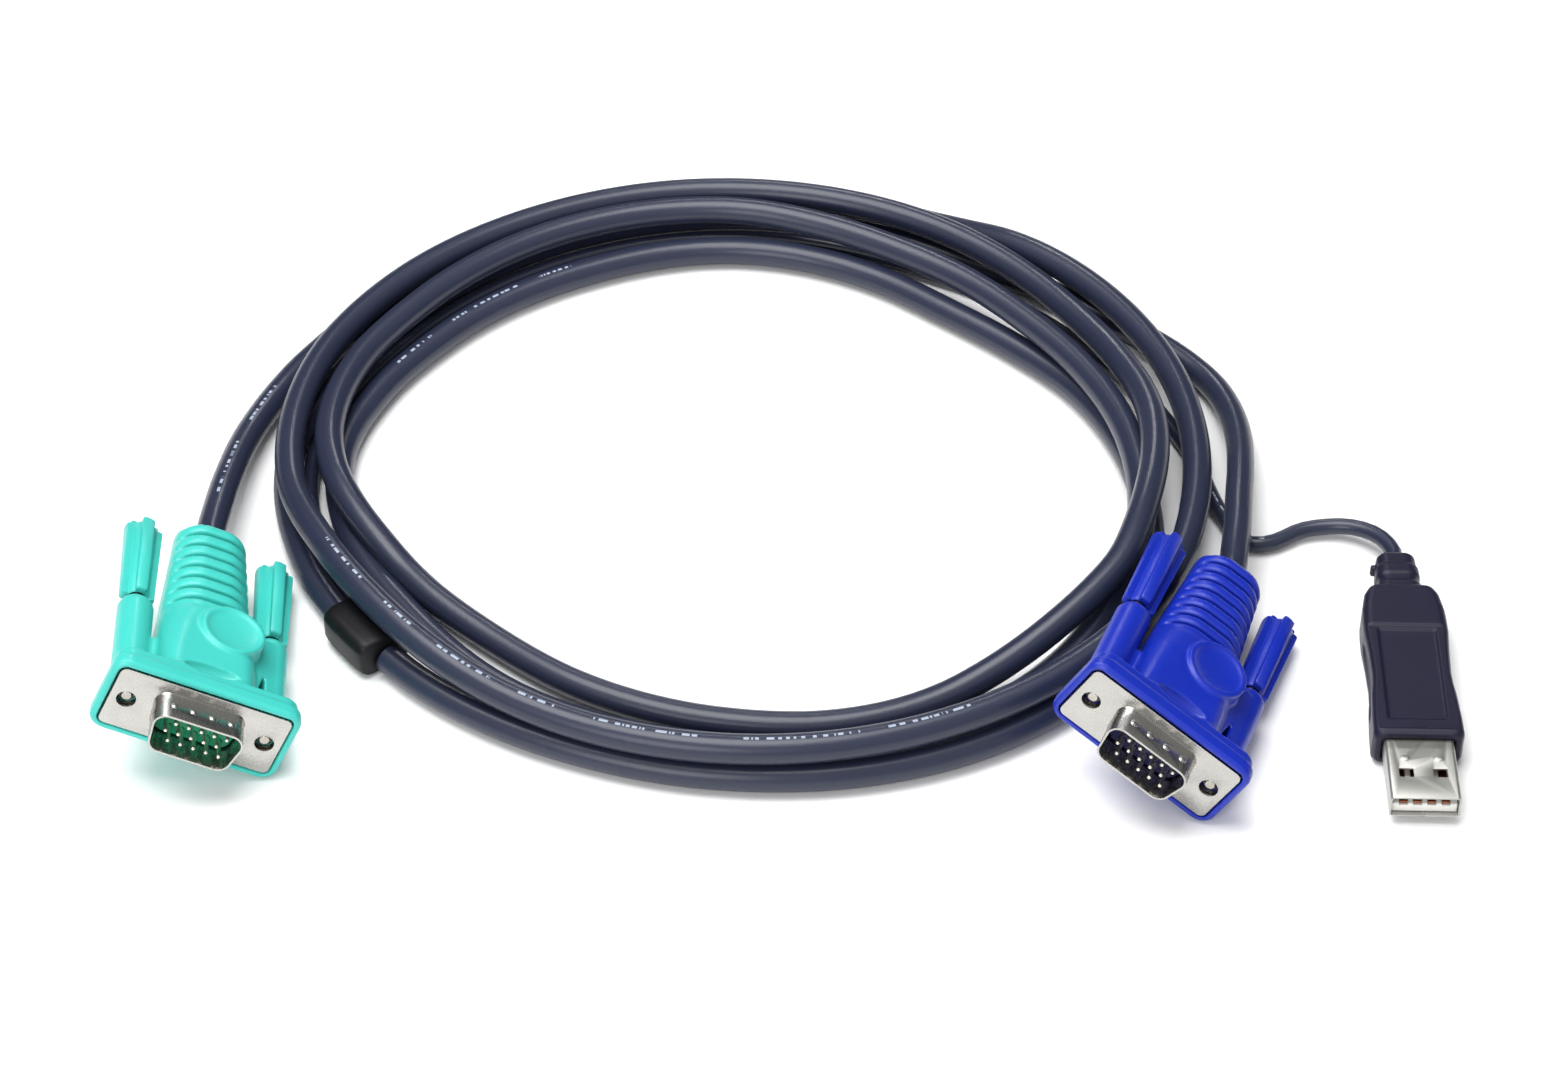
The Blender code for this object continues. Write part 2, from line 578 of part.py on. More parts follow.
def hood_cutters(name, material):
    """Seat of the steel plates, pocket of the rear shell, screw bores, pad dish and front scoop."""
    seat_depth = 2 * (PLATE_THICKNESS + SEAT_GAP)
    seat = rounded_outline(PLATE_WIDTH + 2 * SEAT_GAP, PLATE_HEIGHT + 2 * SEAT_GAP, PLATE_CORNER)
    pocket = rounded_outline(
        REAR_SHELL_WIDTH + 2 * SEAT_GAP, REAR_SHELL_HEIGHT + 2 * SEAT_GAP, PLATE_CORNER,
    )
    pocket_end = INSULATOR_LENGTH + PIN_TAIL + SEAT_GAP
    cuts = [
        solid(name + "_seat", loft([(seat, -BAND_STEP), (seat, seat_depth)]), material),
        solid(name + "_pocket", loft([(pocket, 0.0), (pocket, pocket_end)]), material),
    ]
    for side in (-1, 1):
        steps = [(BARREL_BORE, 0.0), (BARREL_BORE, BARREL_LENGTH + BARREL_RADIUS)]
        bore = rod_sections(steps, BORE_SIDES, side * SCREW_SPACING / 2)
        cuts.append(solid(name + "_bore", loft(bore), material))
    dish = bmesh.new()
    bmesh.ops.create_uvsphere(dish, u_segments=PAD_SIDES, v_segments=12, radius=PAD_RADIUS - PAD_RIM)
    bmesh.ops.scale(dish, verts=dish.verts, vec=(1.0, 1.0, PAD_RIM / (PAD_RADIUS - PAD_RIM)))
    bmesh.ops.translate(dish, verts=dish.verts, vec=(PAD_OFFSET, PAD_BACK, BODY_HEIGHT / 2 + PAD_RISE))
    cuts.append(solid(name + "_dish", dish, material))
    scoop = bmesh.new()
    bmesh.ops.create_uvsphere(scoop, u_segments=BORE_SIDES, v_segments=10, radius=SCOOP_WIDTH / 2)
    flat = 2 * SCOOP_DEPTH / SCOOP_WIDTH
    bmesh.ops.scale(scoop, verts=scoop.verts, vec=(1.0, 2 * flat, 2 * flat))
    bmesh.ops.translate(scoop, verts=scoop.verts, vec=(0.0, FLANGE_DEPTH + SCOOP_DEPTH, BODY_HEIGHT / 2))
    cuts.append(solid(name + "_scoop", scoop, material))
    return cuts


def knob_outline(radius):
    """Section of a thumbscrew knob: four broad ridges with rounded flutes between them."""
    points = []
    sides = 8 * KNOB_FLUTES
    for side in range(sides):
        angle = math.tau * side / sides
        wave = math.cos(KNOB_FLUTES * angle)
        depth = KNOB_FLUTE_DEPTH * min(1.0, max(0.0, 0.5 - 1.4 * wave))
        points.append(((radius - depth) * math.cos(angle), (radius - depth) * math.sin(angle)))
    return points


def make_thumbscrew(name, knob_material, screw_material, parent):
    """Moulded knob on the rear of a steel screw; both turn about the parent's Y axis."""
    start = BARREL_LENGTH + SEAT_GAP
    end = start + KNOB_LENGTH
    sections = [
        (knob_outline(KNOB_RADIUS - KNOB_NOSE_TRIM), start),
        (knob_outline(KNOB_RADIUS), start + KNOB_FLUTE_DEPTH / 2),
        (knob_outline(KNOB_RADIUS), end - KNOB_FLUTE_DEPTH / 2),
        (knob_outline(KNOB_RADIUS - KNOB_END_TRIM), end),
    ]
    knob = solid(name + "_knob", loft(sections), knob_material, parent)
    bore_radius = SCREW_RADIUS + SEAT_GAP
    steps = [(bore_radius, start - SEAT_GAP), (bore_radius, start + KNOB_BORE_DEPTH)]
    bore = solid(name + "_bore", loft(rod_sections(steps, BORE_SIDES)), knob_material)
    join_or_cut(knob, [bore], "DIFFERENCE")
    thread_end = SCREW_RECESS + SCREW_THREAD_LENGTH
    screw_steps = [
        (SCREW_NECK_RADIUS, SCREW_RECESS),
        (SCREW_RADIUS, SCREW_RECESS + SCREW_RADIUS - SCREW_NECK_RADIUS),
        (SCREW_RADIUS, thread_end),
        (SCREW_NECK_RADIUS, thread_end + SCREW_RADIUS - SCREW_NECK_RADIUS),
        (SCREW_NECK_RADIUS, start - SCREW_RADIUS),
        (SCREW_RADIUS, start),
        (SCREW_RADIUS, start + SCREW_TAIL),
    ]
    solid(name + "_screw", loft(rod_sections(screw_steps, SCREW_SIDES)), screw_material, parent)


def make_plug(name, face, turn, grooves, hood_material, insulator_material, steel, gold):
    """A complete fifteen-pin plug, whose frame has X across, Y into the plug and Z up."""
    yaw, pitch, roll = (math.radians(angle) for angle in turn)
    frame = make_empty(name + "_frame", face, (pitch, roll, yaw))
    make_hood(name + "_hood", grooves, hood_material, frame)
    make_front_shell(name + "_front_shell", steel, frame)
    make_rear_shell(name + "_rear_shell", steel, frame)
    make_insulator(name + "_insulator", insulator_material, frame)
    make_pins(name + "_pin", gold, frame)
    for side, label in ((-1, "left"), (1, "right")):
        axis = make_empty(
            "%s_%s_screw_axis" % (name, label), (side * SCREW_SPACING / 2, 0.0, 0.0), (0.0, 0.0, 0.0), frame,
        )
        make_thumbscrew("%s_%s" % (name, label), hood_material, steel, axis)
    return frame


def make_usb_body(name, material, parent):
    """Moulded grip with a waist, a sunk panel on top and a strain relief at the rear."""
    front = USB_SHELL_EXPOSED
    middle = USB_BODY_HEIGHT / 2
    edge = USB_BODY_EDGE
    length = USB_BODY_LENGTH
    sections = []
    for share, width, trim in (
        (0.00, USB_FRONT_WIDTH, edge), (0.03, USB_FRONT_WIDTH, 0.0), (0.14, USB_FRONT_WIDTH * 0.985, 0.0),
        (0.28, (USB_FRONT_WIDTH + USB_WAIST_WIDTH) / 2, 0.0), (0.42, USB_WAIST_WIDTH, 0.0),
        (0.56, (USB_WAIST_WIDTH * 2 + USB_SHOULDER_WIDTH) / 3, 0.0), (0.70, USB_SHOULDER_WIDTH, 0.0),
        (0.84, USB_SHOULDER_WIDTH * 0.98, 0.0), (0.94, (USB_SHOULDER_WIDTH + USB_REAR_WIDTH) / 2, 0.0),
        (0.98, USB_REAR_WIDTH, 0.0), (1.00, USB_REAR_WIDTH, edge),
    ):
        outline = rounded_outline(width - trim, USB_BODY_HEIGHT - trim, edge * 1.4, EDGE_STEPS)
        shifted = [(x, z + middle) for x, z in outline]
        sections.append((shifted, front + share * length))
    body = solid(name, loft(sections), material, parent)
    stub_sections = []
    for share, scale in ((-0.15, 1.10), (0.12, 1.04), (0.2, 0.96), (0.7, 0.94), (0.92, 0.9), (1.0, 0.74)):
        outline = rounded_outline(
            USB_STUB_WIDTH * scale, USB_STUB_HEIGHT * scale, USB_STUB_EDGE * scale, EDGE_STEPS,
        )
        shifted = [(x, z + middle) for x, z in outline]
        stub_sections.append((shifted, front + length + share * USB_STUB_LENGTH))
    stub = solid(name + "_stub", loft(stub_sections), material)
    half = USB_STUB_WIDTH / 2
    nub_y = front + length + USB_NUB_BACK
    nub_low = (-half - USB_NUB_REACH, nub_y, middle - USB_NUB_SIZE)
    nub_high = (0.0, nub_y + USB_NUB_SIZE, middle + USB_NUB_SIZE)
    nub = box_solid(name + "_nub", nub_low, nub_high, USB_NUB_SIZE / 5, material)
    join_or_cut(body, [stub, nub], "UNION")
    seat = rounded_outline(
        USB_SHELL_WIDTH + 2 * SEAT_GAP, USB_SHELL_HEIGHT + 2 * SEAT_GAP, USB_SHELL_CORNER + SEAT_GAP,
    )
    seat = [(x, z + middle) for x, z in seat]
    pocket = [(seat, front - SEAT_GAP), (seat, front + USB_SHELL_SEAT + SEAT_GAP)]
    panel_start = front + USB_PANEL_BACK
    panel_low = (-USB_PANEL_WIDTH / 2, panel_start, USB_BODY_HEIGHT - USB_PANEL_DEPTH)
    panel_high = (USB_PANEL_WIDTH / 2, panel_start + USB_PANEL_LENGTH, USB_BODY_HEIGHT + USB_PANEL_DEPTH)
    cuts = [
        solid(name + "_pocket", loft(pocket), material),
        box_solid(name + "_panel", panel_low, panel_high, USB_PANEL_DEPTH / 2, material),
    ]
    join_or_cut(body, cuts, "DIFFERENCE")
    return body


def make_usb_shell(name, material, parent):
    """Folded steel tube with two windows in its top and two in its bottom."""
    middle = USB_BODY_HEIGHT / 2
    length = USB_SHELL_EXPOSED + USB_SHELL_SEAT
    outer = rounded_outline(USB_SHELL_WIDTH, USB_SHELL_HEIGHT, USB_SHELL_CORNER)
    wall = USB_SHELL_WALL
    inner = rounded_outline(
        USB_SHELL_WIDTH - 2 * wall, USB_SHELL_HEIGHT - 2 * wall, USB_SHELL_CORNER - wall,
    )
    outer = [(x, z + middle) for x, z in outer]
    inner = [(x, z + middle) for x, z in inner]
    shell = solid(name, loft([(outer, 0.0), (outer, length)]), material, parent)
    cuts = [solid(name + "_hollow", loft([(inner, -wall), (inner, length + wall)]), material)]
    for side in (-1, 1):
        x = side * USB_WINDOW_SPACING / 2
        low = (x - USB_WINDOW_WIDTH / 2, USB_WINDOW_BACK - USB_WINDOW_LENGTH / 2, middle - USB_SHELL_HEIGHT)
        high = (x + USB_WINDOW_WIDTH / 2, USB_WINDOW_BACK + USB_WINDOW_LENGTH / 2, middle + USB_SHELL_HEIGHT)
        cuts.append(box_solid(name + "_window", low, high, wall / 2, material))
    join_or_cut(shell, cuts, "DIFFERENCE")
    return shell


def make_usb_inside(name, tongue_material, contact_material, parent):
    """Plastic tongue in the lower half of the shell and four contacts on top of it."""
    middle = USB_BODY_HEIGHT / 2
    inside = USB_SHELL_WIDTH / 2 - USB_SHELL_WALL - INSULATOR_CLEARANCE
    bottom = middle - USB_SHELL_HEIGHT / 2 + USB_SHELL_WALL + INSULATOR_CLEARANCE
    top = bottom + USB_TONGUE_THICKNESS
    back = USB_SHELL_EXPOSED + USB_SHELL_SEAT - USB_TONGUE_INSET
    tongue = box_solid(
        name + "_tongue", (-inside, USB_TONGUE_INSET, bottom), (inside, back, top),
        INSULATOR_CLEARANCE, tongue_material,
    )
    tongue.parent = parent
    lift = top + INSULATOR_CLEARANCE
    for index in range(4):
        x = (index - 1.5) * USB_CONTACT_PITCH
        start = USB_TONGUE_INSET + USB_CONTACT_INSET
        if index in (1, 2):
            start += USB_CONTACT_STEP
        contact = box_solid(
            "%s_contact_%d" % (name, index + 1), (x - USB_CONTACT_WIDTH / 2, start, lift),
            (x + USB_CONTACT_WIDTH / 2, back - USB_TONGUE_INSET, lift + USB_CONTACT_THICKNESS),
            USB_CONTACT_THICKNESS / 4, contact_material,
        )
        contact.parent = parent


def make_usb_plug(body_material, steel, tongue_material, gold):
    frame = make_empty("usb_frame", USB_FACE, (0.0, 0.0, math.radians(USB_TURN)))
    make_usb_body("usb_body", body_material, frame)
    make_usb_shell("usb_shell", steel, frame)
    make_usb_inside("usb", tongue_material, gold, frame)
    return frame


def between(rows, angle):
    """Radius and height at an angle: a smooth curve through the rows, which run clockwise."""
    index = 0
    while index < len(rows) - 2 and rows[index + 1][0] >= angle:
        index += 1
    first, second = rows[index], rows[index + 1]
    span = first[0] - second[0]
    share = (first[0] - angle) / span
    values = []
    for column in (1, 2):
        slopes = []
        for near in (index, index + 1):
            before = rows[max(near - 1, 0)]
            after = rows[min(near + 1, len(rows) - 1)]
            slopes.append((after[column] - before[column]) / (before[0] - after[0]) * span)
        values.append(
            (1 + 2 * share) * (1 - share) ** 2 * first[column] + share * (1 - share) ** 2 * slopes[0]
            + share ** 2 * (3 - 2 * share) * second[column] + share ** 2 * (share - 1) * slopes[1]
        )
    return values


def from_centre(x, y, z):
    return Vector((COIL_CENTRE[0] + x, COIL_CENTRE[1] + y, z))


def coil_points(rows):
    """Points of a coiled cable: its two ends and one at each multiple of the step between them."""
    first, last = rows[0][0], rows[-1][0]
    steps = range(math.floor(first / TURN_STEP - 0.4), math.ceil(last / TURN_STEP + 0.4) - 1, -1)
    angles = [first] + [step * TURN_STEP for step in steps] + [last]
    points = []
    for angle in angles:
        radius, height = between(rows, angle)
        turn = math.radians(angle)
        points.append(from_centre(radius * math.cos(turn), radius * math.sin(turn), height))
    return points


def exit_points(frame, start, lengths):
    """Points straight out of a plug: its axis is the frame's Y, at the height of start."""
    return [frame.matrix_world @ Vector((0.0, start[0] + length, start[1])) for length in lengths]


def make_cable(name, points, diameter, material):
    curve = bpy.data.curves.new(name, "CURVE")
    curve.dimensions = "3D"
    curve.bevel_depth = diameter / 2
    curve.bevel_resolution = 2
    curve.use_fill_caps = True
    spline = curve.splines.new("POLY")
    spline.points.add(len(points) - 1)
    for point, place in zip(spline.points, points):
        point.co = (*place, 1.0)
    return add_object(name, curve, material)


def make_junction(material):
    """Moulded lump where the trunk divides, in line with the outer turn."""
    sections = []
    for share, scale in ((-0.5, 0.84), (-0.42, 0.94), (-0.2, 1.0), (0.2, 1.0), (0.42, 0.96), (0.5, 0.88)):
        width = JUNCTION_WIDTH * scale
        height = JUNCTION_HEIGHT * scale
        sections.append((rounded_outline(width, height, JUNCTION_EDGE * scale, EDGE_STEPS), share * JUNCTION_LENGTH))
    junction = solid("junction", loft(sections), material)
    turn = math.radians(JUNCTION_ANGLE)
    place = from_centre(JUNCTION_RADIUS * math.cos(turn), JUNCTION_RADIUS * math.sin(turn), 0.0)
    junction.location = place + Vector((0.0, 0.0, JUNCTION_HEIGHT / 2))
    junction.rotation_euler = (0.0, 0.0, turn)
    return junction


def main():
    clear_scene()
    teal = make_material("teal_plastic", (0.05, 0.76, 0.66), 0.38)
    blue = make_material("blue_plastic", (0.01, 0.04, 0.58), 0.38)
    navy = make_material("navy_plastic", (0.03, 0.03, 0.06), 0.42)
    jacket = make_material("cable_jacket", (0.035, 0.04, 0.065), 0.40)
    steel = make_material("plated_steel", (0.72, 0.71, 0.69), 0.28, 1.0)
    gold = make_material("gold_contact", (0.85, 0.62, 0.28), 0.25, 1.0)
    green = make_material("green_insulator", (0.01, 0.10, 0.05), 0.35)
    dark = make_material("dark_insulator", (0.01, 0.01, 0.03), 0.35)
    white = make_material("white_plastic", (0.80, 0.80, 0.78), 0.40)
    teal_frame = make_plug("teal", TEAL_FACE, TEAL_TURN, 7, teal, green, steel, gold)
    blue_frame = make_plug("blue", BLUE_FACE, BLUE_TURN, 8, blue, dark, steel, gold)
    usb_frame = make_usb_plug(navy, steel, white, gold)
    make_junction(jacket)
    bpy.context.view_layer.update()
    boot = (HOOD_LENGTH, 0.0)
    lead = exit_points(teal_frame, boot, (SEAT_GAP, TRUNK_DIAMETER))
    lead += [from_centre(*place) for place in TEAL_LEAD]
    make_cable("trunk_cable", lead + coil_points(TRUNK_TURNS), TRUNK_DIAMETER, jacket)
    rise = [from_centre(*place) for place in BRANCH_LEAD]
    rise += exit_points(blue_frame, boot, (BRANCH_DIAMETER, SEAT_GAP))
    make_cable("branch_cable", coil_points(BRANCH_TURN) + rise, BRANCH_DIAMETER, jacket)
    stub = (USB_SHELL_EXPOSED + USB_BODY_LENGTH + USB_STUB_LENGTH, USB_BODY_HEIGHT / 2)
    reach = [from_centre(*place) for place in THIN_LEAD]
    reach += exit_points(usb_frame, stub, (THIN_DIAMETER, SEAT_GAP))
    make_cable("thin_lead", coil_points(THIN_TURN) + reach, THIN_DIAMETER, jacket)


main()
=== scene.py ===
"""Looks of a switch cable: coiled cables, moulded plugs, plated shells and pins on a pale surface."""
import math

import bmesh
import bpy
from mathutils import Euler, Matrix, Vector


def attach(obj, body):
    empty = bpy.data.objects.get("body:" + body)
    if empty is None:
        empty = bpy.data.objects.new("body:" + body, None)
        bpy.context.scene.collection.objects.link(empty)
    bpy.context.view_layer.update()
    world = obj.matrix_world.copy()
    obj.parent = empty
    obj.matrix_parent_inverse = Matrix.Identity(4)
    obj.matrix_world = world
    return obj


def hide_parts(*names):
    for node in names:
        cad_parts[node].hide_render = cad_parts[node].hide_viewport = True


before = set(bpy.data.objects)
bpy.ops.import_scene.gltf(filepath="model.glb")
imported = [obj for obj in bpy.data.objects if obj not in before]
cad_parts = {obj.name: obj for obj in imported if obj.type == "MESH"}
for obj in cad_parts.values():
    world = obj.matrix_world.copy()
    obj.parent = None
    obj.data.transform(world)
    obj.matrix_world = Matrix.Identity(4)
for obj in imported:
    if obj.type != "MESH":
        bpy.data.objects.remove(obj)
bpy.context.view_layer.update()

BODY = "cable"
SEAT_GAP = 0.0003
SHARP_ANGLE = math.radians(35.0)

# Camera of the photograph
IMAGE_WIDTH = 1568
FOCAL_PIXELS = 4000.0
SENSOR_WIDTH = 36.0
CAMERA_PLACE = (0.0003, -0.4987, 0.4964)
CAMERA_TARGET = (0.0003, -0.0072, 0.0460)

# Cables
TRUNK_DIAMETER = 0.0054
BRANCH_DIAMETER = 0.0051
THIN_DIAMETER = 0.0030
CABLE_SIDES = 24
PATH_STEP = 0.0022
COIL_CENTRE = (-0.0092, 0.0638)
LOW = 0.0029
HIGH = 0.0086
THIN_LOW = 0.0016
BRANCH_LOW = 0.00265
TURN_STEP = 6.0

# Plugs: place of the face, then yaw, pitch and roll in degrees
TEAL_FACE = (-0.0998, -0.0181, 0.01388)
TEAL_TURN = (3.7, -4.9, 26.8)
BLUE_FACE = (0.0621, -0.0240, 0.01434)
BLUE_TURN = (-20.7, -5.4, 29.4)
USB_FACE = (0.1092, -0.0288, 0.0)
USB_TURN = (-1.5, 0.0, 0.0)

# Fifteen-pin plug: steel front shell and what it holds
PLATE_WIDTH = 0.0308
PLATE_HEIGHT = 0.0125
PLATE_THICKNESS = 0.0006
PLATE_CORNER = 0.0012
SCREW_SPACING = 0.02499
SCREW_HOLE_RADIUS = 0.0017
SHELL_WIDTH = 0.0169
SHELL_HEIGHT = 0.0084
SHELL_LENGTH = 0.0059
SHELL_WALL = 0.0004
SHELL_SIDE_ANGLE = math.radians(10.0)
SHELL_CORNER = 0.0024
SHELL_EDGE = 0.00007
DIMPLE_RADIUS = 0.0010
DIMPLE_HEIGHT = 0.0003
DIMPLE_PITCH = 0.0034
DIMPLES_PER_SIDE = 4
INSULATOR_FRONT = 0.0006
INSULATOR_LENGTH = 0.0072
INSULATOR_CLEARANCE = 0.00015
REAR_SHELL_WIDTH = 0.0156
REAR_SHELL_DEPTH = 0.0062
REAR_SHELL_HEIGHT = 0.0100
REAR_SHELL_WALL = 0.0004
PIN_RADIUS = 0.00038
PIN_REACH = 0.0050
PIN_TAIL = 0.0020
PIN_CLEARANCE = 0.00012
PIN_PITCH = 0.00229
PIN_ROW_PITCH = 0.00198
PIN_ROWS = 3
PINS_PER_ROW = 5

# Fifteen-pin plug: moulded hood
LIP = 0.0016
HOOD_CORNER = 0.0028
BAND_DEPTH = 0.0026
BAND_STEP = 0.0005
FLANGE_DEPTH = 0.0050
BODY_WIDTH = 0.0176
BODY_HEIGHT = 0.0142
BODY_CORNER = 0.0030
BODY_REAR_CORNER = 0.0058
BODY_STRAIGHT = 0.0060
BODY_END_GAP = 0.0012
HOOD_LENGTH = 0.0470  # where the cables start
BOOT_END = 0.0484  # visible end, over the first of the cable
BOOT_START = 0.0235
BOOT_WIDTH = 0.0132
BOOT_HEIGHT = 0.0106
BOOT_ROUNDNESS = 0.97
SHOULDER_WIDTH_SHARE = 0.95
SHOULDER_HEIGHT_SHARE = 0.92
GROOVE_DEPTH = 0.0019
TEAL_GROOVES = 7
BLUE_GROOVES = 8
GROOVE_PROFILE = (
    (0.00, 0.06), (0.20, 0.0), (0.42, 0.06), (0.48, 0.20), (0.52, 0.9), (0.56, 1.0), (0.72, 1.0),
    (0.76, 0.9), (0.80, 0.20), (0.88, 0.10),
)
STRIP_START = 0.16
STRIP_END = 0.30
NOTCH_ANGLE = math.radians(32.0)
NOTCH_WIDTH = math.radians(16.0)
NOTCH_EXTRA = 0.6
BARREL_RADIUS = 0.0032
BARREL_LENGTH = 0.0268
BARREL_SEAM = 0.0012
BARREL_BORE = 0.0017
WEB_REACH = 0.0160
WEB_THICKNESS = 0.0042
PAD_RADIUS = 0.0058
PAD_OFFSET = 0.0032
PAD_BACK = 0.0180
PAD_RIM = 0.0008
PAD_RISE = 0.0006
PAD_DISH = 0.0008
SADDLE_START = 0.0042
SADDLE_END = 0.0232
SADDLE_INNER_HEIGHT = 0.0060
SADDLE_OUTER_HEIGHT = 0.0030
SADDLE_OVERLAP = 0.0008
POCKET_CORNERS = ((0.0086, 0.0046), (0.0107, 0.0046), (0.0107, 0.0150))
POCKET_FLOOR = -0.0010
SCOOP_WIDTH = 0.0100
SCOOP_DEPTH = 0.0007
VOXEL = 0.00028
SMOOTHING = 2

# Fifteen-pin plug: thumbscrews
KNOB_RADIUS = 0.0035
KNOB_START_RADIUS = 0.0031
KNOB_LENGTH = 0.0208
KNOB_FLUTES = 4
KNOB_FLUTE_DEPTH = 0.0010
KNOB_BORE_DEPTH = 0.0100
KNOB_END_STEP = 0.0011
KNOB_EDGE = 0.0005
SCREW_RADIUS = 0.00142
SCREW_NECK_RADIUS = 0.0011
SCREW_THREAD_LENGTH = 0.0080
SCREW_RECESS = 0.0009
SCREW_TAIL = 0.0090
THREAD_PITCH = 0.00064
THREAD_DEPTH = 0.00028

# Flat four-contact plug
USB_SHELL_WIDTH = 0.0120
USB_SHELL_HEIGHT = 0.0045
USB_SHELL_WALL = 0.0003
USB_SHELL_CORNER = 0.0007
USB_SHELL_EXPOSED = 0.0138
USB_SHELL_SEAT = 0.0060
USB_WINDOW_WIDTH = 0.0025
USB_WINDOW_LENGTH = 0.0020
USB_WINDOW_BACK = 0.0060
USB_WINDOW_SPACING = 0.0058
USB_TAB_BACK = 0.0094
USB_BODY_LENGTH = 0.0379
USB_FRONT_WIDTH = 0.0158
USB_WAIST_WIDTH = 0.0140
USB_SHOULDER_WIDTH = 0.0150
USB_REAR_WIDTH = 0.0118
USB_BODY_HEIGHT = 0.0080
USB_BODY_EDGE = 0.0011
USB_PANEL_WIDTH = 0.0104
USB_PANEL_LENGTH = 0.0226
USB_PANEL_DEPTH = 0.0003
USB_PANEL_BACK = 0.0037
USB_STUB_WIDTH = 0.0080
USB_STUB_HEIGHT = 0.0066
USB_STUB_EDGE = 0.0022
USB_STUB_LENGTH = 0.0096
USB_NUB_SIZE = 0.0011
USB_NUB_REACH = 0.0006
USB_NUB_BACK = 0.0066
USB_VOXEL = 0.00022
USB_TOP_DROP = 0.0003
USB_TOP_START = 0.0012
USB_TOP_END = 0.0272
USB_TONGUE_THICKNESS = 0.0019
USB_TONGUE_INSET = 0.0008
USB_CONTACT_WIDTH = 0.0013
USB_CONTACT_THICKNESS = 0.0004
USB_CONTACT_PITCH = 0.0024
USB_CONTACT_INSET = 0.0003

# Junction
JUNCTION_WIDTH = 0.0108
JUNCTION_LENGTH = 0.0130
JUNCTION_HEIGHT = 0.0078
JUNCTION_EDGE = 0.0022
JUNCTION_ANGLE = -142.5
JUNCTION_RADIUS = 0.0817

# Finishes of the moulded pieces: slot, lit tone, shaded tone, roughness, refractive index
MOULDED = {
    "teal_moulding": ("teal_plastic", (0.052, 0.530, 0.470), (0.042, 0.475, 0.415), 0.36, 1.46),
    "blue_moulding": ("blue_plastic", (0.004, 0.022, 0.380), (0.003, 0.018, 0.330), 0.38, 1.46),
    "navy_moulding": ("navy_plastic", (0.010, 0.010, 0.028), (0.008, 0.008, 0.022), 0.42, 1.34),
    # Junction rubber: black rubber, darkened further to near black as painted shade for the shade it lies
    # in under the coil
    "junction_rubber": ("junction_rubber", (0.004, 0.004, 0.006), (0.003, 0.003, 0.004), 0.45, 1.32),
    "green_insulator": ("green_insulator", (0.010, 0.330, 0.170), (0.008, 0.270, 0.140), 0.35, 1.46),
    "dark_insulator": ("dark_insulator", (0.016, 0.016, 0.090), (0.012, 0.012, 0.070), 0.35, 1.46),
    "white_tongue": ("white_plastic", (0.80, 0.79, 0.75), (0.72, 0.71, 0.67), 0.40, 1.46),
}

# Finishes of the plated metal: slot, bright tone, dull tone, roughness
PLATED = {
    "plated_steel": ("plated_steel", (0.50, 0.49, 0.46), (0.40, 0.39, 0.37), 0.26),
    "usb_steel": ("plated_steel", (0.48, 0.48, 0.45), (0.43, 0.43, 0.40), 0.46),
    "screw_steel": ("screw_steel", (0.50, 0.47, 0.43), (0.36, 0.33, 0.30), 0.26),
    "pin_gold": ("gold_contact", (0.86, 0.84, 0.74), (0.74, 0.72, 0.62), 0.28),
    # Contact gold: gold darkened to a deep red-brown as painted shade, for the shade inside the flat plug's
    # shell
    "contact_gold_painted_shade": ("gold_contact", (0.40, 0.16, 0.08), (0.24, 0.06, 0.04), 0.30),
}

# Cable jackets and the print on their upper side
JACKET = (0.022, 0.027, 0.053)
JACKET_SHADE = (0.015, 0.019, 0.040)
PRINT = (0.36, 0.42, 0.52)
PRINT_TURN = 0.25
PRINT_HALF_WIDTH = 0.016

# Noise in the finishes: its scale per metre, and the depth of its bumps in metres
MOULD_CLOUD = 90.0
MOULD_GLOSS = 420.0
MOULD_GRAIN = 3200.0
MOULD_GRAIN_DEPTH = 0.00002
METAL_CLOUD = 240.0
METAL_MARKS = 2600.0
METAL_MARK_DEPTH = 0.000005
JACKET_CLOUD = 60.0
JACKET_GRAIN = 1500.0
JACKET_DEPTH = 0.00006
PRINT_DASHES = 760.0
FLOOR_CLOUD = 6.0

# Stretches with print, in metres from a cable's start
TRUNK_PRINTS = (
    (0.014, 0.032), (0.039, 0.052), (0.384, 0.400), (0.405, 0.425), (0.432, 0.452), (0.458, 0.466),
    (0.472, 0.484), (0.490, 0.500), (0.505, 0.518), (1.508, 1.518), (1.524, 1.540), (1.545, 1.552),
)
THIN_PRINTS = ((0.27, 0.30),)

# Studio
FLOOR_SIZE = 6.0
FLOOR_GAP = 0.0002
WORLD_STRENGTH = 0.62
SKY_TILT = (0.0, -0.55, 0.84)
SKY_TONES = ((0.22, 0.10), (0.66, 1.0))
LIGHTS = (
    ("overhead", (-0.15, 0.10, 0.90), (0.0, 0.03, 0.0), 0.7, 11.0),
    ("front", (-0.35, -0.75, 0.50), (0.0, 0.03, 0.0), 0.5, 3.6),
    ("rim", (0.05, 0.90, 0.55), (0.0, 0.05, 0.0), 0.12, 0.9),
)

# Lead from the teal plug to the coil, from the coil's centre
TEAL_LEAD = (
    (-0.0936, -0.0225, 0.0088),
    (-0.0928, -0.0120, 0.0074),
    (-0.0912, 0.0004, 0.0052),
    (-0.0884, 0.0114, 0.0036),
    (-0.0851, 0.0200, LOW),
)

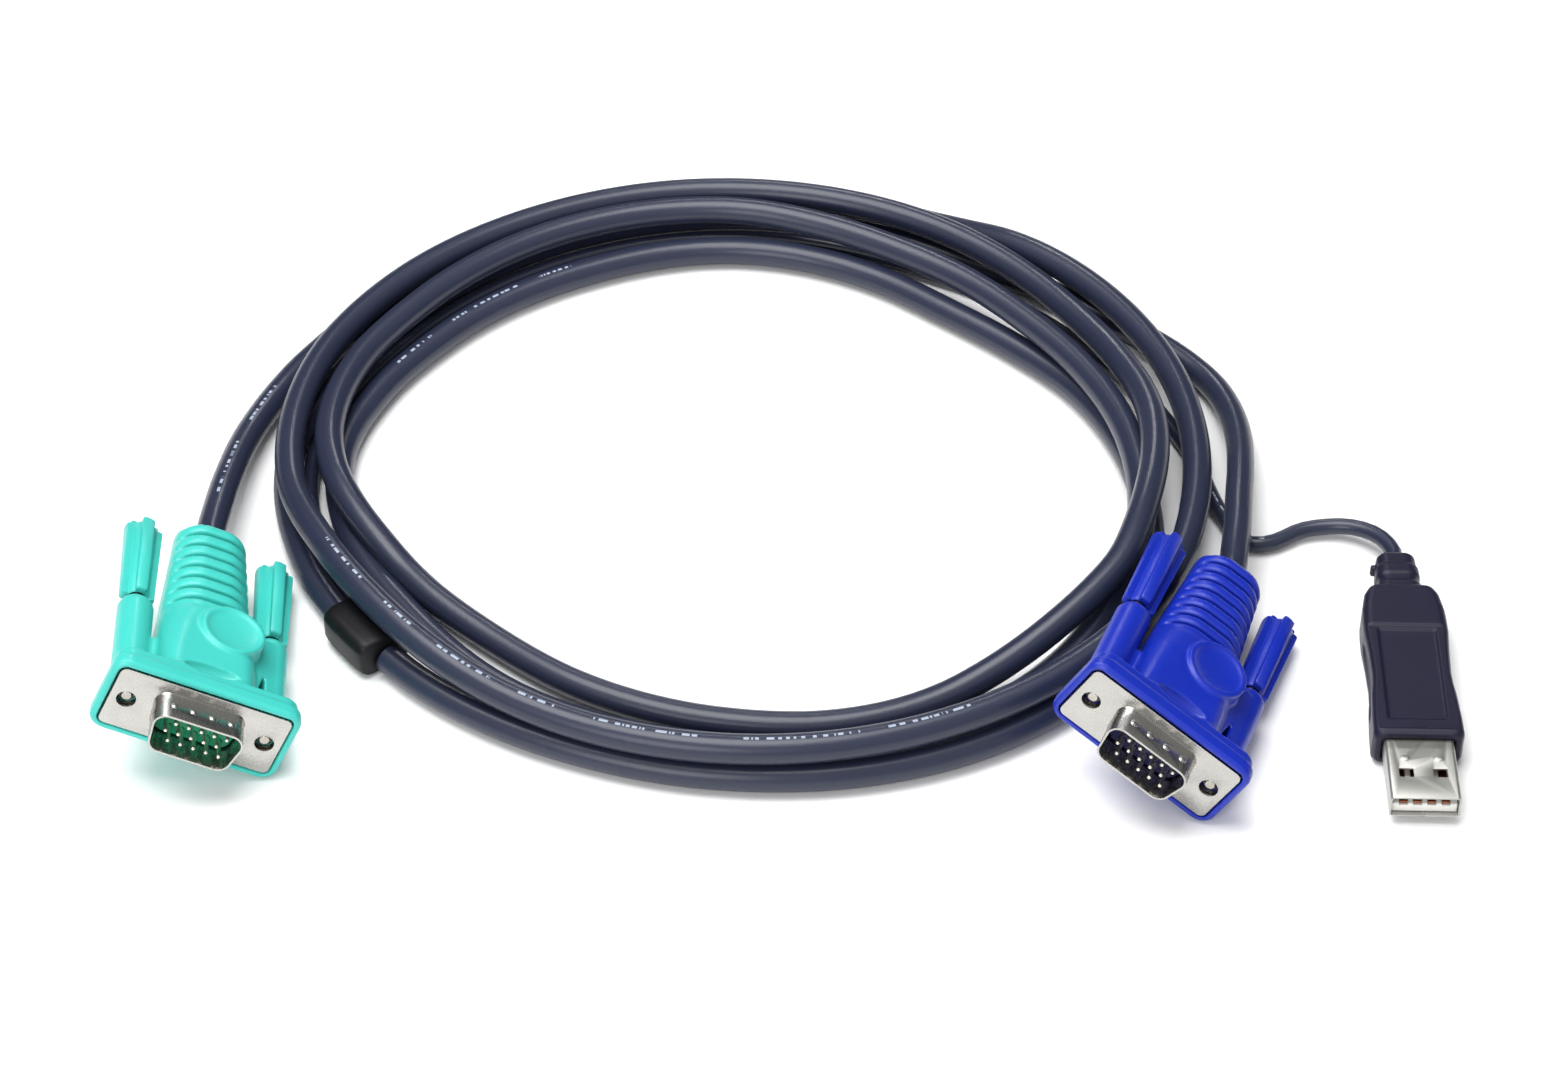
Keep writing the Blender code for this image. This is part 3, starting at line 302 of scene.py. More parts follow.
# Turns of the trunk, clockwise from above: angle in degrees, radius, height of the centre
TRUNK_TURNS = (
    (-197, 0.0861, LOW), (-203, 0.0841, LOW), (-210, 0.0822, LOW), (-222, 0.0802, LOW),
    (-240, 0.0790, LOW), (-270, 0.0780, LOW), (-300, 0.0782, 0.0038),
    (-315, 0.0793, 0.0074), (-330, 0.0813, HIGH), (-350, 0.0844, HIGH),
    (-370, 0.0865, HIGH), (-390, 0.0880, HIGH), (-420, 0.0860, HIGH),
    (-450, 0.0832, HIGH), (-475, 0.0809, HIGH), (-500, 0.0798, 0.0110),
    (-515, 0.0805, 0.0110), (-530, 0.0822, 0.0093),
    (-555, 0.0810, HIGH), (-570, 0.0788, HIGH), (-600, 0.0745, HIGH),
    (-630, 0.0724, HIGH), (-660, 0.0723, HIGH), (-690, 0.0732, HIGH),
    (-705, 0.0750, 0.0102), (-720, 0.0775, 0.0128), (-740, 0.0792, 0.0144),
    (-750, 0.0803, 0.0130), (-760, 0.0789, 0.0104), (-770, 0.0774, 0.0072),
    (-782, 0.0760, 0.0040), (-795, 0.0741, LOW), (-810, 0.0713, LOW),
    (-830, 0.0680, LOW), (-850, 0.0657, LOW), (-870, 0.0682, 0.0048),
    (-878, 0.0704, 0.0070), (-888, 0.0734, HIGH),
    (-900, 0.0751, HIGH), (-915, 0.0740, HIGH), (-930, 0.0713, HIGH),
    (-960, 0.0687, HIGH), (-990, 0.0662, HIGH), (-1005, 0.0638, HIGH),
    (-1020, 0.0624, HIGH), (-1035, 0.0629, HIGH), (-1050, 0.0645, HIGH),
    (-1065, 0.0684, HIGH), (-1080, 0.0731, HIGH), (-1100, 0.0787, 0.0082),
    (-1110, 0.0799, 0.0066), (-1120, 0.0814, 0.0038), (-1140, 0.0822, LOW),
    (-1155, 0.0802, LOW), (-1170, 0.0775, LOW), (-1200, 0.0749, LOW),
    (-1223, 0.0725, LOW), (-1240, 0.0733, LOW),
    (-1260, 0.0730, LOW), (-1274, 0.0697, LOW), (-1290, 0.0657, LOW),
    (-1320, 0.0615, LOW), (-1350, 0.0606, LOW), (-1380, 0.0587, LOW),
    (-1395, 0.0586, LOW), (-1410, 0.0620, LOW), (-1425, 0.0680, LOW),
    (-1440, 0.0736, LOW), (-1460, 0.0812, LOW), (-1470, 0.0862, LOW),
    (-1485, 0.0886, LOW), (-1500, 0.0882, LOW), (-1515, 0.0862, LOW),
    (-1530, 0.0840, LOW), (-1550, 0.0822, LOW), (-1577.6, 0.0819, LOW),
)

# Branch cable from the junction, under the coil, then up to the blue plug
BRANCH_TURN = (
    (-147.4, 0.0826, BRANCH_LOW), (-160, 0.0830, BRANCH_LOW), (-180, 0.0826, BRANCH_LOW),
    (-194, 0.0787, BRANCH_LOW), (-210, 0.0755, BRANCH_LOW), (-240, 0.0729, BRANCH_LOW),
    (-270, 0.0719, BRANCH_LOW), (-300, 0.0722, BRANCH_LOW), (-315, 0.0752, BRANCH_LOW),
    (-330, 0.0820, BRANCH_LOW), (-340, 0.0885, BRANCH_LOW), (-346, 0.0922, 0.0029),
    (-352, 0.0939, 0.0040), (-359, 0.0943, 0.0059), (-366, 0.0942, 0.0079),
)
BRANCH_LEAD = (
    (0.0925, -0.0195, 0.0091),
    (0.0915, -0.0278, 0.0096),
    (0.0903, -0.0352, 0.0097),
)

# Thin lead from the junction, under the coil, then over to the flat plug
THIN_TURN = (
    (-147.4, 0.0783, THIN_LOW), (-160, 0.0789, THIN_LOW), (-180, 0.0784, THIN_LOW),
    (-194, 0.0746, THIN_LOW), (-210, 0.0712, THIN_LOW), (-240, 0.0677, THIN_LOW),
    (-270, 0.0664, THIN_LOW), (-300, 0.0668, THIN_LOW), (-320, 0.0705, THIN_LOW),
    (-335, 0.0750, THIN_LOW), (-345, 0.0792, THIN_LOW), (-355, 0.0836, THIN_LOW),
    (-363, 0.0874, THIN_LOW),
)
THIN_LEAD = (
    (0.0892, -0.0128, THIN_LOW),
    (0.0907, -0.0172, THIN_LOW),
    (0.0922, -0.0213, THIN_LOW),
    (0.0951, -0.0240, THIN_LOW),
    (0.0993, -0.0233, THIN_LOW),
    (0.1044, -0.0204, 0.0018),
    (0.1108, -0.0199, 0.0024),
    (0.1150, -0.0214, 0.0031),
    (0.1182, -0.0243, 0.0037),
)


class Socket:
    """Output of a material's node that can stand in a Python expression."""

    def __init__(self, finish, output):
        self.finish = finish
        self.output = output

    def math(self, operation, first, second):
        return self.finish.node("ShaderNodeMath", {"operation": operation}, {0: first, 1: second})

    def __add__(self, other):
        return self.math("ADD", self, other)

    __radd__ = __add__

    def __sub__(self, other):
        return self.math("SUBTRACT", self, other)

    def __mul__(self, other):
        return self.math("MULTIPLY", self, other)

    __rmul__ = __mul__

    def above(self, other):
        return self.math("GREATER_THAN", self, other)

    def below(self, other):
        return self.math("LESS_THAN", self, other)


class Finish:
    """A surface finish: one material, with constants set on its shader and nodes added one by one."""

    def __init__(self, name, slot, **constants):
        self.slot = slot
        self.material = bpy.data.materials.new(name)
        self.material.use_nodes = True
        self.tree = self.material.node_tree
        self.shader = self.tree.nodes["Principled BSDF"]
        for key, value in constants.items():
            self.shader.inputs[key.replace("_", " ").title().replace("Ior", "IOR")].default_value = value

    def node(self, kind, settings=None, inputs=None, output=0):
        made = self.tree.nodes.new(kind)
        for key, value in (settings or {}).items():
            setattr(made, key, value)
        for key, value in (inputs or {}).items():
            self.feed(made.inputs[key], value)
        return Socket(self, made.outputs[output])

    def feed(self, socket, value):
        if isinstance(value, Socket):
            self.tree.links.new(value.output, socket)
        else:
            socket.default_value = value

    def place(self):
        return self.node("ShaderNodeTexCoord", output="Object")

    def noise(self, vector, scale, detail=3.0, roughness=0.5):
        inputs = {"Vector": vector, "Scale": scale, "Detail": detail, "Roughness": roughness}
        return self.node("ShaderNodeTexNoise", None, inputs)

    def mix(self, share, first, second):
        """Colour between two colours, by a share from 0 to 1."""
        made = self.tree.nodes.new("ShaderNodeMix")
        made.data_type = "RGBA"
        self.feed(made.inputs["Factor"], share)
        for socket, colour in (("A", first), ("B", second)):
            target = [entry for entry in made.inputs if entry.name == socket and entry.type == "RGBA"][0]
            self.feed(target, colour if isinstance(colour, Socket) else (*colour, 1.0))
        return Socket(self, [entry for entry in made.outputs if entry.type == "RGBA"][0])

    def colour(self, value):
        self.feed(self.shader.inputs["Base Color"], value)

    def roughness(self, value):
        self.feed(self.shader.inputs["Roughness"], value)

    def bump(self, height, distance):
        inputs = {"Height": height, "Distance": distance, "Strength": 1.0}
        made = self.node("ShaderNodeBump", None, inputs)
        self.feed(self.shader.inputs["Normal"], made)


def moulded_finish(name, slot, colour, shade, roughness, ior):
    """Moulded plastic: a slightly uneven tone, a soft sheen and a fine grain from the mould."""
    finish = Finish(name, slot, ior=ior)
    place = finish.place()
    cloud = finish.noise(place, MOULD_CLOUD, 2.0)
    grain = finish.noise(place, MOULD_GRAIN, 2.0, 0.6)
    finish.colour(finish.mix(cloud, shade, colour))
    finish.roughness(roughness - 0.05 + 0.10 * finish.noise(place, MOULD_GLOSS, 3.0))
    finish.bump(grain, MOULD_GRAIN_DEPTH)
    return finish


def plated_finish(name, slot, colour, dull, roughness):
    """Plated metal: a little uneven in tone and gloss, with fine marks from handling."""
    finish = Finish(name, slot, metallic=1.0)
    place = finish.place()
    stretch = finish.node("ShaderNodeMapping", None, {"Vector": place, "Scale": (1.0, 0.25, 1.0)})
    marks = finish.noise(stretch, METAL_MARKS, 3.0, 0.7)
    cloud = finish.noise(place, METAL_CLOUD, 3.0)
    finish.colour(finish.mix(cloud, dull, colour))
    finish.roughness(roughness - 0.06 + 0.14 * marks)
    finish.bump(marks, METAL_MARK_DEPTH)
    return finish


def jacket_finish(name, prints=()):
    """Cable jacket: lengthwise streaks that vary its gloss and bumps and lay painted sheen bands in its
    colour, and plain pale ticks where it is marked.
    """
    finish = Finish(name, "cable_jacket", ior=1.45)
    run = finish.node("ShaderNodeUVMap", {"uv_map": "run"})
    parts = finish.node("ShaderNodeSeparateXYZ", None, {"Vector": run})
    along = Socket(finish, parts.output.node.outputs["X"])
    around = Socket(finish, parts.output.node.outputs["Y"])
    streaks = finish.node("ShaderNodeMapping", None, {"Vector": run, "Scale": (9.0, 14.0, 1.0)})
    # Lengthwise streaks: real gloss and bump variation, and painted sheen where they tint the colour
    gloss_and_painted_sheen = finish.noise(streaks, 1.0, 4.0, 0.6)
    place = finish.place()
    cloud = finish.noise(place, JACKET_CLOUD, 3.0)
    # Colour: painted sheen streaks mixed with a random cloud of tone
    tone = finish.mix(0.5 * gloss_and_painted_sheen + 0.5 * cloud, JACKET_SHADE, JACKET)
    near = finish.node("ShaderNodeMath", {"operation": "ABSOLUTE"}, {0: around - PRINT_TURN})
    dash_place = finish.node("ShaderNodeMapping", None, {"Vector": run, "Scale": (PRINT_DASHES, 0.0, 1.0)})
    dashes = finish.noise(dash_place, 1.0, 1.0).above(0.50)
    runs = None
    for start, end in prints:
        inside = along.above(start) * along.below(end)
        runs = inside if runs is None else runs + inside
    if runs is not None:
        marked = near.below(PRINT_HALF_WIDTH) * dashes * runs
        tone = finish.mix(marked * 0.9, tone, PRINT)
    finish.colour(tone)
    finish.roughness(0.22 + 0.18 * gloss_and_painted_sheen)
    finish.bump(0.6 * gloss_and_painted_sheen + 0.4 * finish.noise(place, JACKET_GRAIN, 2.0), JACKET_DEPTH)
    return finish


def rounded_outline(width, height, corner, steps):
    """Points of a rounded rectangle about the origin, anticlockwise."""
    points = []
    for side_x, side_z, start in ((1, 1, 0.0), (-1, 1, 90.0), (-1, -1, 180.0), (1, -1, 270.0)):
        for step in range(steps + 1):
            angle = math.radians(start + 90.0 * step / steps)
            x = side_x * (width / 2 - corner) + corner * math.cos(angle)
            z = side_z * (height / 2 - corner) + corner * math.sin(angle)
            points.append((x, z))
    return points


def rear_outline(margin, corner):
    """Outline of the rear shell's box with a margin round it."""
    return rounded_outline(REAR_SHELL_WIDTH + 2 * margin, REAR_SHELL_HEIGHT + 2 * margin, corner, 8)


def raised(outline, height):
    return [(x, z + height) for x, z in outline]


def d_outline(width, height, corner, steps):
    """Points of the D shape with its wide side up: the sides lean in towards the bottom."""
    lean = math.tan(SHELL_SIDE_ANGLE) * height / 2
    corners = (
        Vector((width / 2, height / 2)),
        Vector((-width / 2, height / 2)),
        Vector((-width / 2 + 2 * lean, -height / 2)),
        Vector((width / 2 - 2 * lean, -height / 2)),
    )
    points = []
    for index, corner_point in enumerate(corners):
        before = (corners[index - 1] - corner_point).normalized()
        after = (corners[(index + 1) % 4] - corner_point).normalized()
        half = math.acos(before.dot(after)) / 2
        centre = corner_point + (before + after).normalized() * corner / math.sin(half)
        start = corner_point + before * corner / math.tan(half) - centre
        sweep = math.pi - 2 * half
        for step in range(steps + 1):
            turned = Matrix.Rotation(sweep * step / steps, 2) @ start
            points.append(tuple(centre + turned))
    return points


def extruded_ring(bm, edges):
    """A copy of a ring of edges, joined to it by faces: its vertices and edges."""
    made = bmesh.ops.extrude_edge_only(bm, edges=edges)["geom"]
    verts = [entry for entry in made if isinstance(entry, bmesh.types.BMVert)]
    ring = set(verts)
    fresh = {edge for vertex in verts for edge in vertex.link_edges}
    return verts, [edge for edge in fresh if edge.verts[0] in ring and edge.verts[1] in ring]


def loft(sections):
    """Closed solid: a ring is extruded through (outline, y) sections that have equal point counts."""
    bm = bmesh.new()
    order = bm.verts.layers.int.new("order")
    verts = bmesh.ops.create_circle(bm, segments=len(sections[0][0]), radius=1.0)["verts"]
    for index, vertex in enumerate(verts):
        vertex[order] = index
    edges = list(bm.edges)
    ends = []
    for number, (outline, y) in enumerate(sections):
        if number:
            verts, edges = extruded_ring(bm, edges)
        for vertex in verts:
            x, z = outline[vertex[order]]
            vertex.co = (x, y, z)
        if number in (0, len(sections) - 1):
            ends.append(edges)
    for ring in ends:
        bmesh.ops.contextual_create(bm, geom=ring)
    return bm


def lathe(profile, sides, x=0.0, z=0.0):
    """Solid turned about an axis along Y through (x, z): (radius, y) points from radius 0 to 0."""
    bm = bmesh.new()
    verts = [bm.verts.new((x + radius, y, z)) for radius, y in profile]
    edges = [bm.edges.new(pair) for pair in zip(verts, verts[1:])]
    bmesh.ops.spin(
        bm, geom=verts + edges, cent=(x, 0.0, z), axis=(0.0, 1.0, 0.0), angle=math.tau, steps=sides,
        use_merge=True,
    )
    bmesh.ops.remove_doubles(bm, verts=bm.verts, dist=0.000001)
    return bm


def rod(radius, start, end, sides, x=0.0, z=0.0):
    return lathe([(0.0, start), (radius, start), (radius, end), (0.0, end)], sides, x, z)


def screw_bores(radius, start, end, sides):
    """Rods on a plug's two screw axes, to cut with."""
    return [rod(radius, start, end, sides, side * SCREW_SPACING / 2) for side in (-1, 1)]


def block(low, high, edge, segments=3):
    """Box with rounded edges."""
    bm = bmesh.new()
    bmesh.ops.create_cube(bm, size=1.0)
    size = [high[axis] - low[axis] for axis in range(3)]
    centre = [(high[axis] + low[axis]) / 2 for axis in range(3)]
    bmesh.ops.scale(bm, vec=size, verts=bm.verts)
    bmesh.ops.translate(bm, vec=centre, verts=bm.verts)
    bmesh.ops.bevel(
        bm, geom=bm.edges, offset=edge, segments=segments, profile=0.5, affect="EDGES", material=-1,
    )
    return bm


def ball(centre, radii, segments=32):
    bm = bmesh.new()
    bmesh.ops.create_uvsphere(bm, u_segments=segments, v_segments=segments // 2, radius=1.0)
    bmesh.ops.scale(bm, verts=bm.verts, vec=radii)
    bmesh.ops.translate(bm, verts=bm.verts, vec=centre)
    return bm


def shade(data):
    """Smooth shading, broken at sharp edges."""
    data.shade_smooth()
    data.set_sharp_from_angle(angle=SHARP_ANGLE)


def solid(name, bm):
    """Object from a closed bmesh, with outward faces, shaded smooth except at its edges."""
    bmesh.ops.recalc_face_normals(bm, faces=bm.faces)
    data = bpy.data.meshes.new(name)
    bm.to_mesh(data)
    bm.free()
    shade(data)
    piece = bpy.data.objects.new(name, data)
    bpy.context.collection.objects.link(piece)
    return piece


def apply_modifiers(piece):
    bpy.context.view_layer.update()
    evaluated = piece.evaluated_get(bpy.context.evaluated_depsgraph_get())
    shaped = bpy.data.meshes.new_from_object(evaluated)
    piece.modifiers.clear()
    piece.data = shaped


def join_or_cut(piece, tools, operation):
    """Apply the tools, which are bmeshes, to the piece with exact booleans."""
    helpers = [solid("helper", bm) for bm in tools]
    for helper in helpers:
        modifier = piece.modifiers.new("shape", "BOOLEAN")
        modifier.operation = operation
        modifier.solver = "EXACT"
        modifier.object = helper
    apply_modifiers(piece)
    for helper in helpers:
        bpy.data.objects.remove(helper, do_unlink=True)
    shade(piece.data)


def round_edges(piece, width, segments=2):
    """Narrow rounding along the sharp edges, as on stamped metal."""
    modifier = piece.modifiers.new("edges", "BEVEL")
    modifier.width = width
    modifier.segments = segments
    modifier.limit_method = "ANGLE"
    modifier.angle_limit = SHARP_ANGLE
    modifier.use_clamp_overlap = True
    apply_modifiers(piece)
    shade(piece.data)


def together(shapes):
    """One mesh of several closed shapes, which may overlap."""
    bm = bmesh.new()
    for shape in shapes:
        mesh = bpy.data.meshes.new("shape")
        shape.to_mesh(mesh)
        shape.free()
        bm.from_mesh(mesh)
        bpy.data.meshes.remove(mesh)
    bmesh.ops.recalc_face_normals(bm, faces=bm.faces)
    return bm


def skin(piece, voxel):
    """One even skin round all that a piece is made of."""
    remesh = piece.modifiers.new("skin", "REMESH")
    remesh.mode = "VOXEL"
    remesh.voxel_size = voxel
    remesh.use_smooth_shade = True


def mould(piece, voxel, rounds):
    """Fine even skin with softened edges, as a moulded part has."""
    skin(piece, voxel)
    soften = piece.modifiers.new("soften", "SMOOTH")
    soften.factor = 0.5
    soften.iterations = rounds
    apply_modifiers(piece)
    piece.data.shade_smooth()


def dress(piece, finish, place, nodes, body=BODY):
    """Put a piece in its place, give it its finish and let it stand for its nodes of the frame."""
    piece.data.transform(place)
    piece.data.materials.clear()
    piece.data.materials.append(finish.material)
    piece.name = nodes[0] + "_look"
    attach(piece, body)
    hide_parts(*nodes)
    return piece


def plug_place(face, turn):
    """Matrix of a plug's own frame: X across, Y into the plug and Z up."""
    yaw, pitch, roll = (math.radians(angle) for angle in turn)
    return Matrix.Translation(face) @ Euler((pitch, roll, yaw), "YXZ").to_matrix().to_4x4()


def ease(start, start_slope, end, end_slope, share):
    """Point at a share of the cubic curve that has the given ends and slopes."""
    return (
        (1 + 2 * share) * (1 - share) ** 2 * start + share * (1 - share) ** 2 * start_slope
        + share ** 2 * (3 - 2 * share) * end + share ** 2 * (share - 1) * end_slope
    )


def between(rows, angle):
    """Radius and height at an angle: a smooth curve through the rows, which run clockwise."""
    index = 0
    while index < len(rows) - 2 and rows[index + 1][0] >= angle:
        index += 1
    first, second = rows[index], rows[index + 1]
    span = first[0] - second[0]
    share = (first[0] - angle) / span
    values = []
    for column in (1, 2):
        slopes = []
        for near in (index, index + 1):
            before = rows[max(near - 1, 0)]
            after = rows[min(near + 1, len(rows) - 1)]
            slopes.append((after[column] - before[column]) / (before[0] - after[0]) * span)
        values.append(ease(first[column], slopes[0], second[column], slopes[1], share))
    return values


def from_centre(x, y, z):
    return Vector((COIL_CENTRE[0] + x, COIL_CENTRE[1] + y, z))


def coil_points(rows):
    """Points of a coiled cable: its two ends and one at each multiple of the step between them."""
    first, last = rows[0][0], rows[-1][0]
    steps = range(math.floor(first / TURN_STEP - 0.4), math.ceil(last / TURN_STEP + 0.4) - 1, -1)
    angles = [first] + [step * TURN_STEP for step in steps] + [last]
    points = []
    for angle in angles:
        radius, height = between(rows, angle)
        turn = math.radians(angle)
        points.append(from_centre(radius * math.cos(turn), radius * math.sin(turn), height))
    return points


def exit_points(place, start, lengths):
    """Points straight out of a plug: its axis is the frame's Y, at the height of start."""
    return [place @ Vector((0.0, start[0] + length, start[1])) for length in lengths]


def smooth_path(points, step):
    """Evenly spaced points of one smooth curve through the given points."""
    dense = []
    for index in range(len(points) - 1):
        before = points[max(index - 1, 0)]
        start, end = points[index], points[index + 1]
        after = points[min(index + 2, len(points) - 1)]
        span = (end - start).length
        first_slope = (end - before) * (span / max((end - start).length + (start - before).length, 1e-9))
        last_slope = (after - start) * (span / max((after - end).length + (end - start).length, 1e-9))
        for part in range(8):
            dense.append(ease(start, first_slope, end, last_slope, part / 8))
    dense.append(points[-1])
    lengths = [0.0]
    for start, end in zip(dense, dense[1:]):
        lengths.append(lengths[-1] + (end - start).length)
    count = round(lengths[-1] / step)
    path = []
    index = 0
    for number in range(count + 1):
        wanted = lengths[-1] * number / count
        while index < len(dense) - 2 and lengths[index + 1] < wanted:
            index += 1
        share = (wanted - lengths[index]) / max(lengths[index + 1] - lengths[index], 1e-12)
        path.append(dense[index].lerp(dense[index + 1], min(share, 1.0)))
    return path


def tube(name, path, diameter):
    """Round tube along a path, with a map of metres along it and of turns round it (0.25 is up)."""
    bm = bmesh.new()
    order = bm.verts.layers.int.new("order")
    reach = bm.verts.layers.float.new("reach")
    run = bm.loops.layers.uv.new("run")
    verts = bmesh.ops.create_circle(bm, segments=CABLE_SIDES, radius=1.0)["verts"]
    for index, vertex in enumerate(verts):
        vertex[order] = index
    edges = list(bm.edges)
    ends = []
    travelled = 0.0
    for number, point in enumerate(path):
        if number:
            travelled += (point - path[number - 1]).length
            verts, edges = extruded_ring(bm, edges)
        ahead = path[min(number + 1, len(path) - 1)] - path[max(number - 1, 0)]
        ahead.normalize()
        side = ahead.cross(Vector((0.0, 0.0, 1.0))).normalized()
        up = side.cross(ahead)
        for vertex in verts:
            angle = math.tau * vertex[order] / CABLE_SIDES
            vertex.co = point + (side * math.cos(angle) + up * math.sin(angle)) * diameter / 2
            vertex[reach] = travelled
        if number in (0, len(path) - 1):
            ends.append(edges)
    for face in bm.faces:
        wraps = {vertex[order] for vertex in face.verts} == {0, CABLE_SIDES - 1}
        for loop in face.loops:
            turn = loop.vert[order]
            if wraps and turn == 0:
                turn = CABLE_SIDES
            loop[run].uv = (loop.vert[reach], turn / CABLE_SIDES)
    for ring in ends:
        bmesh.ops.contextual_create(bm, geom=ring)
    return solid(name, bm)


def make_camera():
    data = bpy.data.cameras.new("camera")
    data.sensor_width = SENSOR_WIDTH
    data.lens = FOCAL_PIXELS * SENSOR_WIDTH / IMAGE_WIDTH
    camera = bpy.data.objects.new("camera", data)
    camera.location = CAMERA_PLACE
    aim = Vector(CAMERA_TARGET) - Vector(CAMERA_PLACE)
    camera.rotation_euler = aim.to_track_quat("-Z", "Y").to_euler()
    bpy.context.collection.objects.link(camera)
    bpy.context.scene.camera = camera


def make_light(name, place, target, size, power):
    data = bpy.data.lights.new(name, "AREA")
    data.size = size
    data.energy = power
    light = bpy.data.objects.new(name, data)
    light.location = place
    light.rotation_euler = (Vector(target) - Vector(place)).to_track_quat("-Z", "Y").to_euler()
    bpy.context.collection.objects.link(light)


def make_surroundings():
    world = bpy.data.worlds.new("studio")
    world.use_nodes = True
    tree = world.node_tree
    background = tree.nodes["Background"]
    background.inputs["Strength"].default_value = WORLD_STRENGTH
    sight = tree.nodes.new("ShaderNodeTexCoord")
    tilt = tree.nodes.new("ShaderNodeVectorMath")
    tilt.operation = "DOT_PRODUCT"
    tilt.inputs[1].default_value = SKY_TILT
    ramp = tree.nodes.new("ShaderNodeValToRGB")
    for element, (position, tone) in zip(ramp.color_ramp.elements, SKY_TONES):
        element.position = position
        element.color = (tone, tone, tone, 1.0)
    tree.links.new(sight.outputs["Generated"], tilt.inputs[0])
    tree.links.new(tilt.outputs["Value"], ramp.inputs["Fac"])
    tree.links.new(ramp.outputs["Color"], background.inputs["Color"])
    bpy.context.scene.world = world
    bpy.context.scene.view_settings.view_transform = "Standard"
    for light in LIGHTS:
        make_light(*light)
    bm = bmesh.new()
    bmesh.ops.create_grid(bm, x_segments=1, y_segments=1, size=FLOOR_SIZE / 2)
    bmesh.ops.translate(bm, verts=bm.verts, vec=(0.0, 0.0, -FLOOR_GAP))
    floor = solid("floor", bm)
    surface = Finish("pale_surface", None, base_color=(0.93, 0.93, 0.93, 1.0), roughness=0.6)
    surface.roughness(0.55 + 0.1 * surface.noise(surface.place(), FLOOR_CLOUD, 2.0))
    floor.data.materials.append(surface.material)


def body_sections():
    """Body between the flange and the boot."""
    sections = []
    for y, narrow, low, rounding in (
        (BAND_DEPTH, 1.0, 1.0, 0.0),
        (FLANGE_DEPTH + BODY_STRAIGHT, 0.99, 1.0, 0.15),
        (BOOT_START - BODY_STRAIGHT, 0.985, 0.97, 0.55),
        (BOOT_START - BODY_END_GAP, 0.96, 0.93, 1.0),
    ):
        corner = BODY_CORNER + (BODY_REAR_CORNER - BODY_CORNER) * rounding
        sections.append((rounded_outline(BODY_WIDTH * narrow, BODY_HEIGHT * low, corner, 12), y))
    return sections


def boot_outline(width, height, groove):
    """Outline of the boot, drawn in by the groove except on its left side, and deeper at upper right."""
    points = []
    for x, z in rounded_outline(width, height, height / 2 * BOOT_ROUNDNESS, 12):
        reach = math.hypot(x, z)
        drawn = groove
        if x < 0:
            drawn *= min(1.0, max(0.0, (abs(z) / height - STRIP_START) / (STRIP_END - STRIP_START)))
        off_notch = (math.atan2(z, x) - NOTCH_ANGLE) / NOTCH_WIDTH
        drawn *= 1.0 + NOTCH_EXTRA * math.exp(-off_notch ** 2)
        points.append((x * (1 - drawn / reach), z * (1 - drawn / reach)))
    return points


def boot_sections(grooves):
    """Boot that tapers from the body to the cable, with rounded ribs between its grooves."""
    shoulder = (BODY_WIDTH * SHOULDER_WIDTH_SHARE, BODY_HEIGHT * SHOULDER_HEIGHT_SHARE)
    length = BOOT_END - BOOT_START
    pitch = length / (grooves + 0.6)
    places = []
    for index in range(grooves):
        places += [((index + share) * pitch, depth) for share, depth in GROOVE_PROFILE]
    places += [(length - 0.50 * pitch, 0.0), (length - 0.16 * pitch, 0.1), (length, 0.7)]
    sections = []
    for reach, depth in places:
        share = reach / length
        width = shoulder[0] + (BOOT_WIDTH - shoulder[0]) * share
        height = shoulder[1] + (BOOT_HEIGHT - shoulder[1]) * share
        sections.append((boot_outline(width, height, GROOVE_DEPTH * depth), BOOT_START + reach))
    return sections


def saddle():
    """Wedge between the body and the right barrel, high on the inside."""
    low = (PAD_OFFSET, SADDLE_START, -WEB_THICKNESS / 2)
    high = (SCREW_SPACING / 2 + SADDLE_OVERLAP, SADDLE_END, SADDLE_INNER_HEIGHT)
    bm = block(low, high, WEB_THICKNESS / 5)
    for vertex in bm.verts:
        if vertex.co.z > 0:
            across = (vertex.co.x - low[0]) / (high[0] - low[0])
            vertex.co.z *= 1 - across * (1 - SADDLE_OUTER_HEIGHT / SADDLE_INNER_HEIGHT)
    return bm


def pocket():
    """Three-sided hollow between the flange, the body and the right barrel, with its point to the rear."""
    bm = bmesh.new()
    verts = [bm.verts.new((x, y, POCKET_FLOOR)) for x, y in POCKET_CORNERS]
    bottom = bm.faces.new(verts)
    made = bmesh.ops.extrude_face_region(bm, geom=[bottom])["geom"]
    top = [entry for entry in made if isinstance(entry, bmesh.types.BMVert)]
    bmesh.ops.translate(bm, verts=top, vec=(0.0, 0.0, BODY_HEIGHT / 2))
    bmesh.ops.recalc_face_normals(bm, faces=bm.faces)
    return bm


